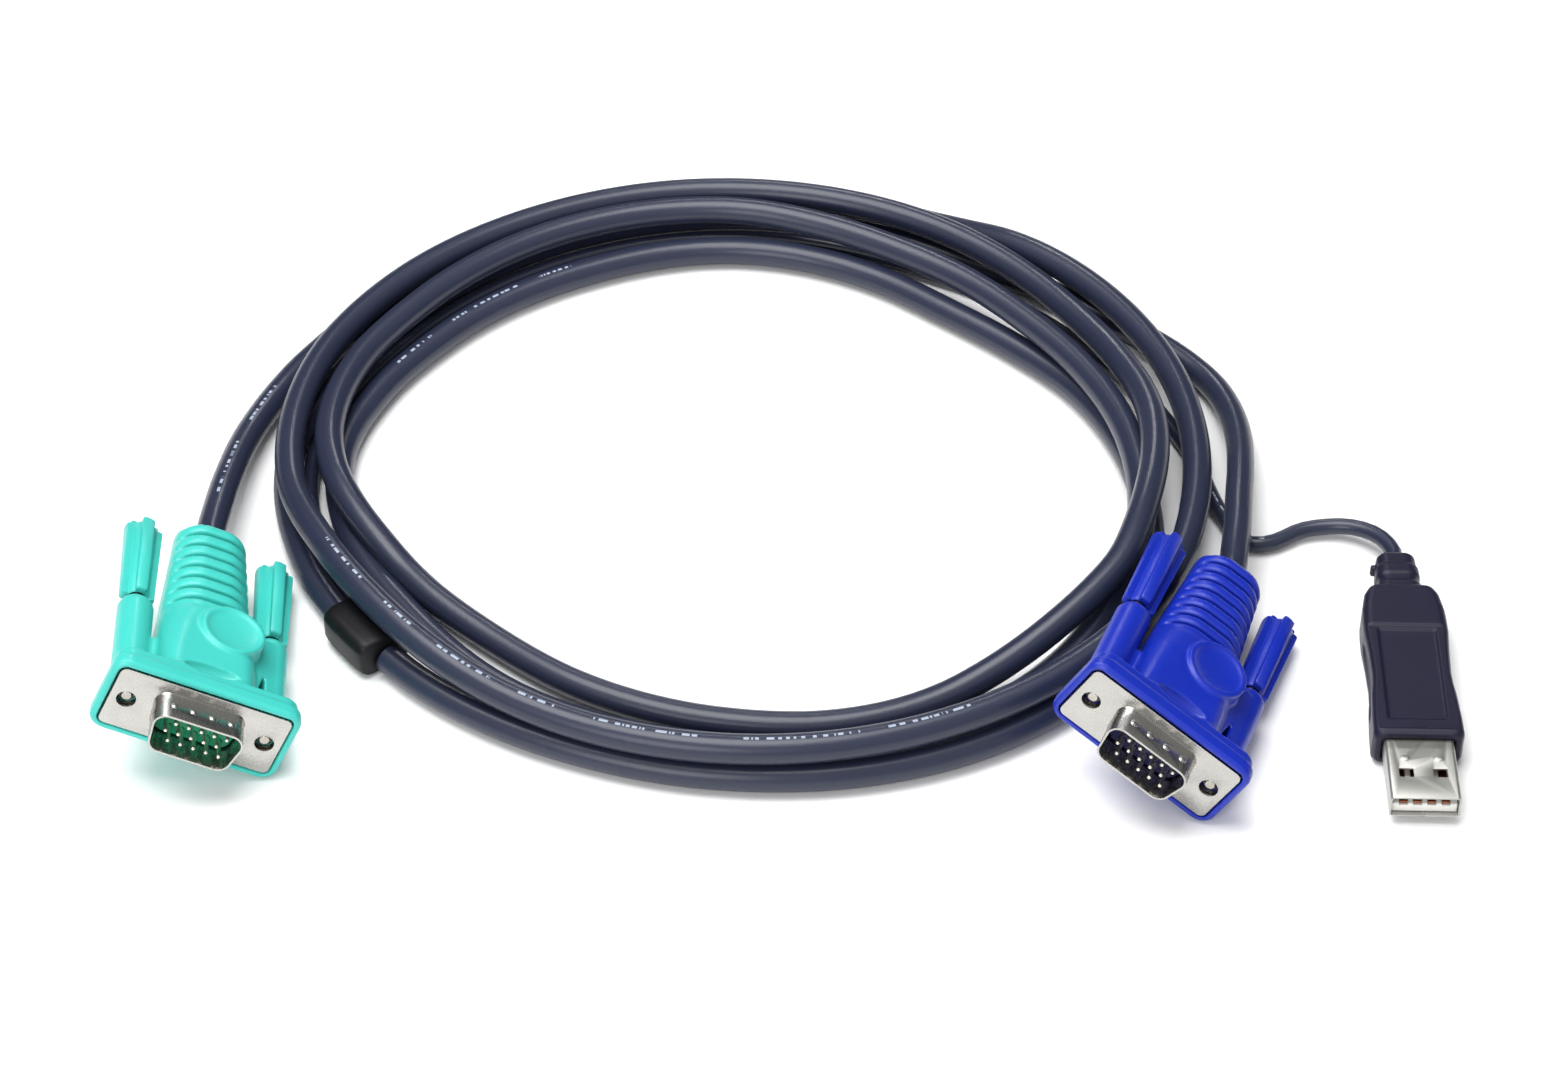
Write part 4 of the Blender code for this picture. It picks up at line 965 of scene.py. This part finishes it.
def make_hood(name, grooves, finish, place):
    """Moulded hood: flange round the steel plate, body, ribbed boot and two screw barrels."""
    width = PLATE_WIDTH + 2 * LIP
    height = PLATE_HEIGHT + 2 * LIP
    band = rounded_outline(width, height, HOOD_CORNER, 10)
    inner_band = rounded_outline(width - 2 * BAND_STEP, height - 2 * BAND_STEP, HOOD_CORNER, 10)
    flange = [(inner_band, 0.0), (band, BAND_STEP), (band, BAND_DEPTH)]
    flange += [(inner_band, BAND_DEPTH + BAND_STEP / 2), (inner_band, FLANGE_DEPTH)]
    top = BODY_HEIGHT / 2 + PAD_RISE
    adds = [loft(flange), loft(body_sections() + boot_sections(grooves)), saddle()]
    half_web = WEB_THICKNESS / 2
    reach = SCREW_SPACING / 2 + SADDLE_OVERLAP
    for side in (-1, 1):
        end = BARREL_LENGTH - BARREL_SEAM
        barrel = [
            (0.0, BAND_DEPTH), (BARREL_RADIUS, BAND_DEPTH),
            (BARREL_RADIUS, BARREL_LENGTH - 2 * BARREL_SEAM),
            (BARREL_RADIUS - BARREL_SEAM / 2, end), (0.0, end),
        ]
        adds.append(lathe(barrel, 64, side * SCREW_SPACING / 2))
        low = (min(0.0, side * reach), BAND_DEPTH, -half_web)
        adds.append(block(low, (max(0.0, side * reach), WEB_REACH, half_web), half_web / 4))
    pad = bmesh.new()
    bmesh.ops.create_cone(
        pad, cap_ends=True, segments=64, radius1=PAD_RADIUS + PAD_RISE, radius2=PAD_RADIUS, depth=top,
    )
    bmesh.ops.translate(pad, verts=pad.verts, vec=(PAD_OFFSET, PAD_BACK, top / 2))
    adds.append(pad)
    hood = solid(name, together(adds))
    skin(hood, VOXEL)
    apply_modifiers(hood)
    join_or_cut(hood, hood_cutters(top), "DIFFERENCE")
    mould(hood, VOXEL, SMOOTHING)
    return dress(hood, finish, place, [name])


def hood_cutters(top):
    """Seat of the steel plates, pocket of the rear shell, screw bores, pad dish, scoop and side pocket."""
    seat = rounded_outline(PLATE_WIDTH + 2 * SEAT_GAP, PLATE_HEIGHT + 2 * SEAT_GAP, PLATE_CORNER, 8)
    rear = rear_outline(SEAT_GAP, PLATE_CORNER)
    cuts = [
        loft([(seat, -BAND_STEP), (seat, 2 * (PLATE_THICKNESS + SEAT_GAP))]),
        loft([(rear, 0.0), (rear, INSULATOR_LENGTH + PIN_TAIL + SEAT_GAP)]),
        ball((PAD_OFFSET, PAD_BACK, top), (PAD_RADIUS - PAD_RIM, PAD_RADIUS - PAD_RIM, PAD_DISH), 64),
        ball(
            (0.0, FLANGE_DEPTH + SCOOP_DEPTH, BODY_HEIGHT / 2),
            (SCOOP_WIDTH / 2, 2 * SCOOP_DEPTH, 2 * SCOOP_DEPTH),
        ),
        pocket(),
    ]
    return cuts + screw_bores(BARREL_BORE, 0.0, BARREL_LENGTH + BARREL_RADIUS, 40)


def make_front_shell(name, finish, place):
    """Stamped plate with a D-shaped skirt that stands forward of it, and dimples on the skirt."""
    plate_outline = rounded_outline(PLATE_WIDTH, PLATE_HEIGHT, PLATE_CORNER, 8)
    plate = solid(name, loft([(plate_outline, 0.0), (plate_outline, PLATE_THICKNESS)]))
    skirt_outline = d_outline(SHELL_WIDTH, SHELL_HEIGHT, SHELL_CORNER, 10)
    skirt_root = d_outline(SHELL_WIDTH + SHELL_WALL, SHELL_HEIGHT + SHELL_WALL, SHELL_CORNER, 10)
    sections = [(skirt_outline, -SHELL_LENGTH), (skirt_outline, -SHELL_WALL)]
    sections.append((skirt_root, PLATE_THICKNESS / 2))
    adds = [loft(sections)]
    sink = DIMPLE_RADIUS - DIMPLE_HEIGHT
    for side in (-1, 1):
        for index in range(DIMPLES_PER_SIDE):
            x = (index - (DIMPLES_PER_SIDE - 1) / 2) * DIMPLE_PITCH
            centre = (x, -SHELL_LENGTH / 2, side * (SHELL_HEIGHT / 2 - sink))
            adds.append(ball(centre, (DIMPLE_RADIUS,) * 3, 24))
    join_or_cut(plate, adds, "UNION")
    inner = d_outline(
        SHELL_WIDTH - 2 * SHELL_WALL, SHELL_HEIGHT - 2 * SHELL_WALL, SHELL_CORNER - SHELL_WALL, 10,
    )
    cuts = [loft([(inner, -SHELL_LENGTH - SHELL_WALL), (inner, PLATE_THICKNESS + SHELL_WALL)])]
    cuts += screw_bores(SCREW_HOLE_RADIUS, -PLATE_THICKNESS, 2 * PLATE_THICKNESS, 48)
    join_or_cut(plate, cuts, "DIFFERENCE")
    round_edges(plate, SHELL_EDGE)
    return dress(plate, finish, place, [name])


def make_rear_shell(name, finish, place):
    """Second stamped plate behind the first, with a box that holds the insulator's rear block."""
    front = PLATE_THICKNESS + SEAT_GAP
    back = front + REAR_SHELL_DEPTH
    plate_outline = rounded_outline(PLATE_WIDTH, PLATE_HEIGHT, PLATE_CORNER, 8)
    box = rear_outline(0.0, PLATE_CORNER)
    plate = solid(name, loft([(plate_outline, front), (plate_outline, front + PLATE_THICKNESS)]))
    join_or_cut(plate, [loft([(box, front + PLATE_THICKNESS / 2), (box, back)])], "UNION")
    inner = rear_outline(-REAR_SHELL_WALL, PLATE_CORNER - REAR_SHELL_WALL)
    cuts = [loft([(inner, front - REAR_SHELL_WALL), (inner, back + REAR_SHELL_WALL)])]
    cuts += screw_bores(SCREW_HOLE_RADIUS, front - PLATE_THICKNESS, front + 2 * PLATE_THICKNESS, 48)
    join_or_cut(plate, cuts, "DIFFERENCE")
    return dress(plate, finish, place, [name])


def pin_places():
    """Places of the pins: three rows, the middle one shifted by half a pitch."""
    places = []
    for row in range(PIN_ROWS):
        shift = PIN_PITCH / 4 if row % 2 == 0 else -PIN_PITCH / 4
        z = ((PIN_ROWS - 1) / 2 - row) * PIN_ROW_PITCH
        for column in range(PINS_PER_ROW):
            x = (column - (PINS_PER_ROW - 1) / 2) * PIN_PITCH + shift
            places.append((row * PINS_PER_ROW + column + 1, x, z))
    return places


def make_insulator(name, finish, place):
    """Moulded block: a D-shaped nose in the front shell and a square block in the rear shell."""
    nose_margin = 2 * (SHELL_WALL + INSULATOR_CLEARANCE)
    step = PLATE_THICKNESS + SEAT_GAP
    back = INSULATOR_LENGTH - INSULATOR_FRONT
    nose = []
    for trim, y in ((0.0003, -INSULATOR_FRONT), (0.0, -INSULATOR_FRONT / 2), (0.0, step + SEAT_GAP)):
        size = (SHELL_WIDTH - nose_margin - trim, SHELL_HEIGHT - nose_margin - trim)
        nose.append((d_outline(*size, SHELL_CORNER - SHELL_WALL, 10), y))
    rear = rear_outline(-(REAR_SHELL_WALL + INSULATOR_CLEARANCE), PLATE_CORNER - REAR_SHELL_WALL)
    insulator = solid(name, loft(nose))
    join_or_cut(insulator, [loft([(rear, step), (rear, back)])], "UNION")
    holes = [
        rod(PIN_RADIUS + PIN_CLEARANCE, -2 * INSULATOR_FRONT, back + INSULATOR_FRONT, 20, x, z)
        for _, x, z in pin_places()
    ]
    join_or_cut(insulator, holes, "DIFFERENCE")
    return dress(insulator, finish, place, [name])


def make_pins(name, finish, place):
    """Round pins with domed tips."""
    back = INSULATOR_LENGTH - INSULATOR_FRONT + PIN_TAIL
    pins = []
    for number, x, z in pin_places():
        profile = []
        for step in range(6):
            angle = math.pi / 2 * step / 5
            profile.append((PIN_RADIUS * math.sin(angle), -PIN_REACH + PIN_RADIUS * (1 - math.cos(angle))))
        profile += [(PIN_RADIUS, back), (0.0, back)]
        node = "%s_%02d" % (name, number)
        pins.append(dress(solid(node, lathe(profile, 18, x, z)), finish, place, [node]))
    return pins


def knob_outline(radius):
    """Section of a thumbscrew knob: four broad ridges with rounded flutes between them."""
    points = []
    sides = 24 * KNOB_FLUTES
    for side in range(sides):
        angle = math.tau * side / sides
        share = min(1.0, max(0.0, 0.5 - 1.4 * math.cos(KNOB_FLUTES * angle)))
        depth = KNOB_FLUTE_DEPTH * share * share * (3 - 2 * share)
        points.append(((radius - depth) * math.cos(angle), (radius - depth) * math.sin(angle)))
    return points


def make_knob(node, finish, place, body):
    """Moulded knob: fluted, a little wider to the rear, with a stepped end and a bore for its screw."""
    start = BARREL_LENGTH + SEAT_GAP
    end = start + KNOB_LENGTH
    sections = []
    for trim, y in (
        (KNOB_EDGE, start), (KNOB_EDGE * 0.4, start + KNOB_EDGE * 0.3), (0.0, start + KNOB_EDGE),
        (0.0, end - KNOB_END_STEP - KNOB_EDGE), (KNOB_EDGE * 0.4, end - KNOB_END_STEP - KNOB_EDGE * 0.3),
        (KNOB_EDGE, end - KNOB_END_STEP), (KNOB_END_STEP * 0.8, end - KNOB_END_STEP * 0.96),
        (KNOB_END_STEP * 0.8, end - KNOB_EDGE * 0.5), (KNOB_END_STEP * 0.8 + KNOB_EDGE * 0.5, end),
    ):
        share = (y - start) / KNOB_LENGTH
        radius = KNOB_START_RADIUS + (KNOB_RADIUS - KNOB_START_RADIUS) * share
        sections.append((knob_outline(radius - trim), y))
    knob = solid(node, loft(sections))
    bore = rod(SCREW_RADIUS + SEAT_GAP, start - SEAT_GAP, start + KNOB_BORE_DEPTH, 32)
    join_or_cut(knob, [bore], "DIFFERENCE")
    return dress(knob, finish, place, [node], body)


def make_screw(node, finish, place, body):
    """Steel screw with a ringed thread at its front and a plain shank behind it."""
    start = BARREL_LENGTH + SEAT_GAP
    thread_end = SCREW_RECESS + SCREW_THREAD_LENGTH
    profile = [(0.0, SCREW_RECESS), (SCREW_NECK_RADIUS - THREAD_DEPTH, SCREW_RECESS)]
    y = SCREW_RECESS + THREAD_DEPTH
    while y < thread_end - THREAD_PITCH:
        profile.append((SCREW_RADIUS - THREAD_DEPTH, y))
        profile.append((SCREW_RADIUS, y + THREAD_PITCH * 0.4))
        profile.append((SCREW_RADIUS, y + THREAD_PITCH * 0.6))
        y += THREAD_PITCH
    profile += [
        (SCREW_RADIUS, thread_end), (SCREW_NECK_RADIUS, thread_end + SCREW_RADIUS - SCREW_NECK_RADIUS),
        (SCREW_NECK_RADIUS, start - SCREW_RADIUS), (SCREW_RADIUS, start),
        (SCREW_RADIUS, start + SCREW_TAIL), (0.0, start + SCREW_TAIL),
    ]
    return dress(solid(node, lathe(profile, 40)), finish, place, [node], body)


def make_plug(name, place, grooves, insulator_finish, finishes):
    """A complete fifteen-pin plug; returns its pieces that carry the cable."""
    moulding = finishes[name + "_moulding"]
    steel = finishes["plated_steel"]
    hood = make_hood(name + "_hood", grooves, moulding, place)
    shell = make_front_shell(name + "_front_shell", steel, place)
    insulator = make_insulator(name + "_insulator", finishes[insulator_finish], place)
    make_pins(name + "_pin", finishes["pin_gold"], place)
    make_rear_shell(name + "_rear_shell", steel, place)
    for side, label in ((-1, "left"), (1, "right")):
        axis = place @ Matrix.Translation((side * SCREW_SPACING / 2, 0.0, 0.0))
        body = "%s_%s_thumbscrew" % (name, label)
        make_knob("%s_%s_knob" % (name, label), moulding, axis, body)
        make_screw("%s_%s_screw" % (name, label), finishes["screw_steel"], axis, body)
    return [hood, shell, insulator]


def make_usb_body(node, finish, place):
    """Moulded grip with a waist, a sunk panel on top, a step near the rear and a strain relief."""
    front = USB_SHELL_EXPOSED
    middle = USB_BODY_HEIGHT / 2
    edge = USB_BODY_EDGE
    length = USB_BODY_LENGTH
    sections = []
    for share, width, trim in (
        (0.00, USB_FRONT_WIDTH, edge), (0.03, USB_FRONT_WIDTH, 0.0), (0.14, USB_FRONT_WIDTH * 0.985, 0.0),
        (0.21, USB_FRONT_WIDTH * 0.965, 0.0), (0.28, (USB_FRONT_WIDTH + USB_WAIST_WIDTH) / 2, 0.0),
        (0.35, USB_WAIST_WIDTH * 1.02, 0.0), (0.42, USB_WAIST_WIDTH, 0.0),
        (0.56, (USB_WAIST_WIDTH * 2 + USB_SHOULDER_WIDTH) / 3, 0.0), (0.70, USB_SHOULDER_WIDTH, 0.0),
        (0.78, USB_SHOULDER_WIDTH * 0.995, 0.0), (0.84, USB_SHOULDER_WIDTH * 0.98, 0.0),
        (0.94, (USB_SHOULDER_WIDTH + USB_REAR_WIDTH) / 2, 0.0), (0.98, USB_REAR_WIDTH, 0.0),
        (1.00, USB_REAR_WIDTH, edge),
    ):
        outline = rounded_outline(width - trim, USB_BODY_HEIGHT - trim, edge * 1.4, 8)
        sections.append((raised(outline, middle), front + share * length))
    body = solid(node, loft(sections))
    stub = []
    for share, scale in (
        (-0.15, 1.10), (0.08, 1.06), (0.14, 1.04), (0.19, 0.93), (0.34, 0.93), (0.40, 1.0), (0.62, 0.98),
        (0.66, 0.90), (0.92, 0.88), (1.0, 0.74),
    ):
        outline = rounded_outline(USB_STUB_WIDTH * scale, USB_STUB_HEIGHT * scale, USB_STUB_EDGE * scale, 8)
        stub.append((raised(outline, middle), front + length + share * USB_STUB_LENGTH))
    nub_y = front + length + USB_NUB_BACK
    nub_low = (-USB_STUB_WIDTH / 2 - USB_NUB_REACH, nub_y, middle - USB_NUB_SIZE)
    nub = block(nub_low, (0.0, nub_y + USB_NUB_SIZE, middle + USB_NUB_SIZE), USB_NUB_SIZE / 5)
    join_or_cut(body, [loft(stub), nub], "UNION")
    join_or_cut(body, usb_cutters(front, middle), "DIFFERENCE")
    mould(body, USB_VOXEL, 4)
    return dress(body, finish, place, [node])


def usb_cutters(front, middle):
    """Seat of the steel shell, sunk panel, side hollows and the step across the top."""
    seat = rounded_outline(
        USB_SHELL_WIDTH + 2 * SEAT_GAP, USB_SHELL_HEIGHT + 2 * SEAT_GAP, USB_SHELL_CORNER + SEAT_GAP, 6,
    )
    seat = raised(seat, middle)
    panel_y = front + USB_PANEL_BACK
    top = USB_BODY_HEIGHT
    depth = USB_PANEL_DEPTH
    cuts = [
        loft([(seat, front - SEAT_GAP), (seat, front + USB_SHELL_SEAT + SEAT_GAP)]),
        block(
            (-USB_PANEL_WIDTH / 2, panel_y, top - depth - USB_TOP_DROP),
            (USB_PANEL_WIDTH / 2, panel_y + USB_PANEL_LENGTH, top + depth), depth / 2,
        ),
        block(
            (-USB_FRONT_WIDTH, front + USB_TOP_START, top - USB_TOP_DROP),
            (USB_FRONT_WIDTH, front + USB_TOP_END, top + depth), depth / 4,
        ),
    ]
    for side in (-1, 1):
        centre = (side * (USB_WAIST_WIDTH / 2 + 0.0004), front + USB_BODY_LENGTH * 0.42, middle)
        cuts.append(ball(centre, (0.0009, USB_BODY_LENGTH * 0.26, USB_BODY_HEIGHT * 0.30), 48))
    return cuts


def make_usb_shell(node, finish, place):
    """Folded steel tube with windows in its top and bottom and two pressed tabs behind each pair."""
    middle = USB_BODY_HEIGHT / 2
    length = USB_SHELL_EXPOSED + USB_SHELL_SEAT
    wall = USB_SHELL_WALL
    outer = rounded_outline(USB_SHELL_WIDTH, USB_SHELL_HEIGHT, USB_SHELL_CORNER, 8)
    inner = rounded_outline(
        USB_SHELL_WIDTH - 2 * wall, USB_SHELL_HEIGHT - 2 * wall, USB_SHELL_CORNER - wall, 8,
    )
    outer, inner = raised(outer, middle), raised(inner, middle)
    shell = solid(node, loft([(outer, 0.0), (outer, length)]))
    tabs = []
    for side in (-1, 1):
        for face in (-1, 1):
            centre = (side * USB_WINDOW_SPACING / 2, USB_TAB_BACK, middle + face * USB_SHELL_HEIGHT / 2)
            tabs.append(ball(centre, (0.0009, 0.0007, 0.00022), 24))
    join_or_cut(shell, tabs, "UNION")
    cuts = [loft([(inner, -wall), (inner, length + wall)])]
    for side in (-1, 1):
        x = side * USB_WINDOW_SPACING / 2
        low = (x - USB_WINDOW_WIDTH / 2, USB_WINDOW_BACK - USB_WINDOW_LENGTH / 2, middle - USB_SHELL_HEIGHT)
        high = (low[0] + USB_WINDOW_WIDTH, low[1] + USB_WINDOW_LENGTH, middle + USB_SHELL_HEIGHT)
        cuts.append(block(low, high, wall / 2))
    seam = (-wall / 4, -wall, middle - USB_SHELL_HEIGHT)
    cuts.append(block(seam, (wall / 4, USB_SHELL_EXPOSED, middle - USB_SHELL_HEIGHT / 4), wall / 16, 1))
    join_or_cut(shell, cuts, "DIFFERENCE")
    round_edges(shell, 0.00006)
    return dress(shell, finish, place, [node])


def make_usb_inside(tongue_finish, contact_painted_shade_finish, place):
    """Plastic tongue with four channels in its top, and a springy contact in each, whose gold is darkened
    with painted shade.
    """
    middle = USB_BODY_HEIGHT / 2
    inside = USB_SHELL_WIDTH / 2 - USB_SHELL_WALL - INSULATOR_CLEARANCE
    bottom = middle - USB_SHELL_HEIGHT / 2 + USB_SHELL_WALL + INSULATOR_CLEARANCE
    top = bottom + USB_TONGUE_THICKNESS
    back = USB_SHELL_EXPOSED + USB_SHELL_SEAT - USB_TONGUE_INSET
    low = (-inside, USB_TONGUE_INSET, bottom)
    tongue = solid("usb_tongue", block(low, (inside, back, top), INSULATOR_CLEARANCE))
    channels = []
    half = USB_CONTACT_WIDTH / 2
    start = USB_TONGUE_INSET + USB_CONTACT_INSET
    for index in range(4):
        x = (index - 1.5) * USB_CONTACT_PITCH
        side = half + INSULATOR_CLEARANCE
        channels.append(block(
            (x - side, 0.0, top - USB_CONTACT_THICKNESS),
            (x + side, back - USB_TONGUE_INSET, top + USB_CONTACT_THICKNESS), INSULATOR_CLEARANCE / 2, 1,
        ))
        low = (x - half, start, top - USB_CONTACT_THICKNESS + SHELL_EDGE)
        high = (x + half, back - 2 * USB_TONGUE_INSET, top + USB_CONTACT_THICKNESS / 2)
        node = "usb_contact_%d" % (index + 1)
        contact = solid(node, block(low, high, USB_CONTACT_THICKNESS / 4))
        dress(contact, contact_painted_shade_finish, place, [node])
    join_or_cut(tongue, channels, "DIFFERENCE")
    dress(tongue, tongue_finish, place, ["usb_tongue"])


def make_usb_plug(place, finishes):
    """The flat plug; returns its moulded body, which carries the thin lead."""
    body = make_usb_body("usb_body", finishes["navy_moulding"], place)
    make_usb_shell("usb_shell", finishes["usb_steel"], place)
    make_usb_inside(finishes["white_tongue"], finishes["contact_gold_painted_shade"], place)
    return body


def make_junction(finish):
    """Moulded lump where the trunk divides, in line with the outer turn."""
    sections = []
    for share, scale in (
        (-0.5, 0.80), (-0.48, 0.88), (-0.44, 0.93), (-0.36, 0.97), (-0.2, 1.0), (0.2, 1.0), (0.36, 0.98),
        (0.44, 0.95), (0.48, 0.91), (0.5, 0.84),
    ):
        outline = rounded_outline(
            JUNCTION_WIDTH * scale, JUNCTION_HEIGHT * scale, JUNCTION_EDGE * scale, 10,
        )
        sections.append((outline, share * JUNCTION_LENGTH))
    piece = solid("junction", loft(sections))
    turn = math.radians(JUNCTION_ANGLE)
    x, y = JUNCTION_RADIUS * math.cos(turn), JUNCTION_RADIUS * math.sin(turn)
    place = Matrix.Translation(from_centre(x, y, JUNCTION_HEIGHT / 2)) @ Matrix.Rotation(turn, 4, "Z")
    return dress(piece, finish, place, ["junction"])


def make_cable(name, points, diameter, finish):
    """A dressed cable through the points, and its path."""
    path = smooth_path(points, PATH_STEP)
    return dress(tube(name, path, diameter), finish, Matrix.Identity(4), [name]), path


def main():
    """Camera, surroundings, cables, plugs and junction."""
    make_camera()
    make_surroundings()
    teal_place = plug_place(TEAL_FACE, TEAL_TURN)
    blue_place = plug_place(BLUE_FACE, BLUE_TURN)
    usb_place = plug_place(USB_FACE, USB_TURN)

    trunk_jacket = jacket_finish("trunk_jacket", TRUNK_PRINTS)
    branch_jacket = jacket_finish("branch_jacket")
    thin_jacket = jacket_finish("thin_jacket", THIN_PRINTS)
    boot = (HOOD_LENGTH, 0.0)
    lead = exit_points(teal_place, boot, (SEAT_GAP, TRUNK_DIAMETER))
    lead += [from_centre(*place) for place in TEAL_LEAD]
    trunk, trunk_path = make_cable(
        "trunk_cable", lead + coil_points(TRUNK_TURNS), TRUNK_DIAMETER, trunk_jacket,
    )
    rise = [from_centre(*place) for place in BRANCH_LEAD]
    rise += exit_points(blue_place, boot, (BRANCH_DIAMETER, SEAT_GAP))
    branch, branch_path = make_cable(
        "branch_cable", coil_points(BRANCH_TURN) + rise, BRANCH_DIAMETER, branch_jacket,
    )
    stub = (USB_SHELL_EXPOSED + USB_BODY_LENGTH + USB_STUB_LENGTH, USB_BODY_HEIGHT / 2)
    reach = [from_centre(*place) for place in THIN_LEAD]
    reach += exit_points(usb_place, stub, (THIN_DIAMETER, SEAT_GAP))
    thin, thin_path = make_cable("thin_lead", coil_points(THIN_TURN) + reach, THIN_DIAMETER, thin_jacket)

    finishes = {name: moulded_finish(name, *look) for name, look in MOULDED.items()}
    finishes.update({name: plated_finish(name, *look) for name, look in PLATED.items()})

    make_plug("teal", teal_place, TEAL_GROOVES, "green_insulator", finishes)
    blue_pieces = make_plug("blue", blue_place, BLUE_GROOVES, "dark_insulator", finishes)
    usb_body = make_usb_plug(usb_place, finishes)
    junction = make_junction(finishes["junction_rubber"])


main()
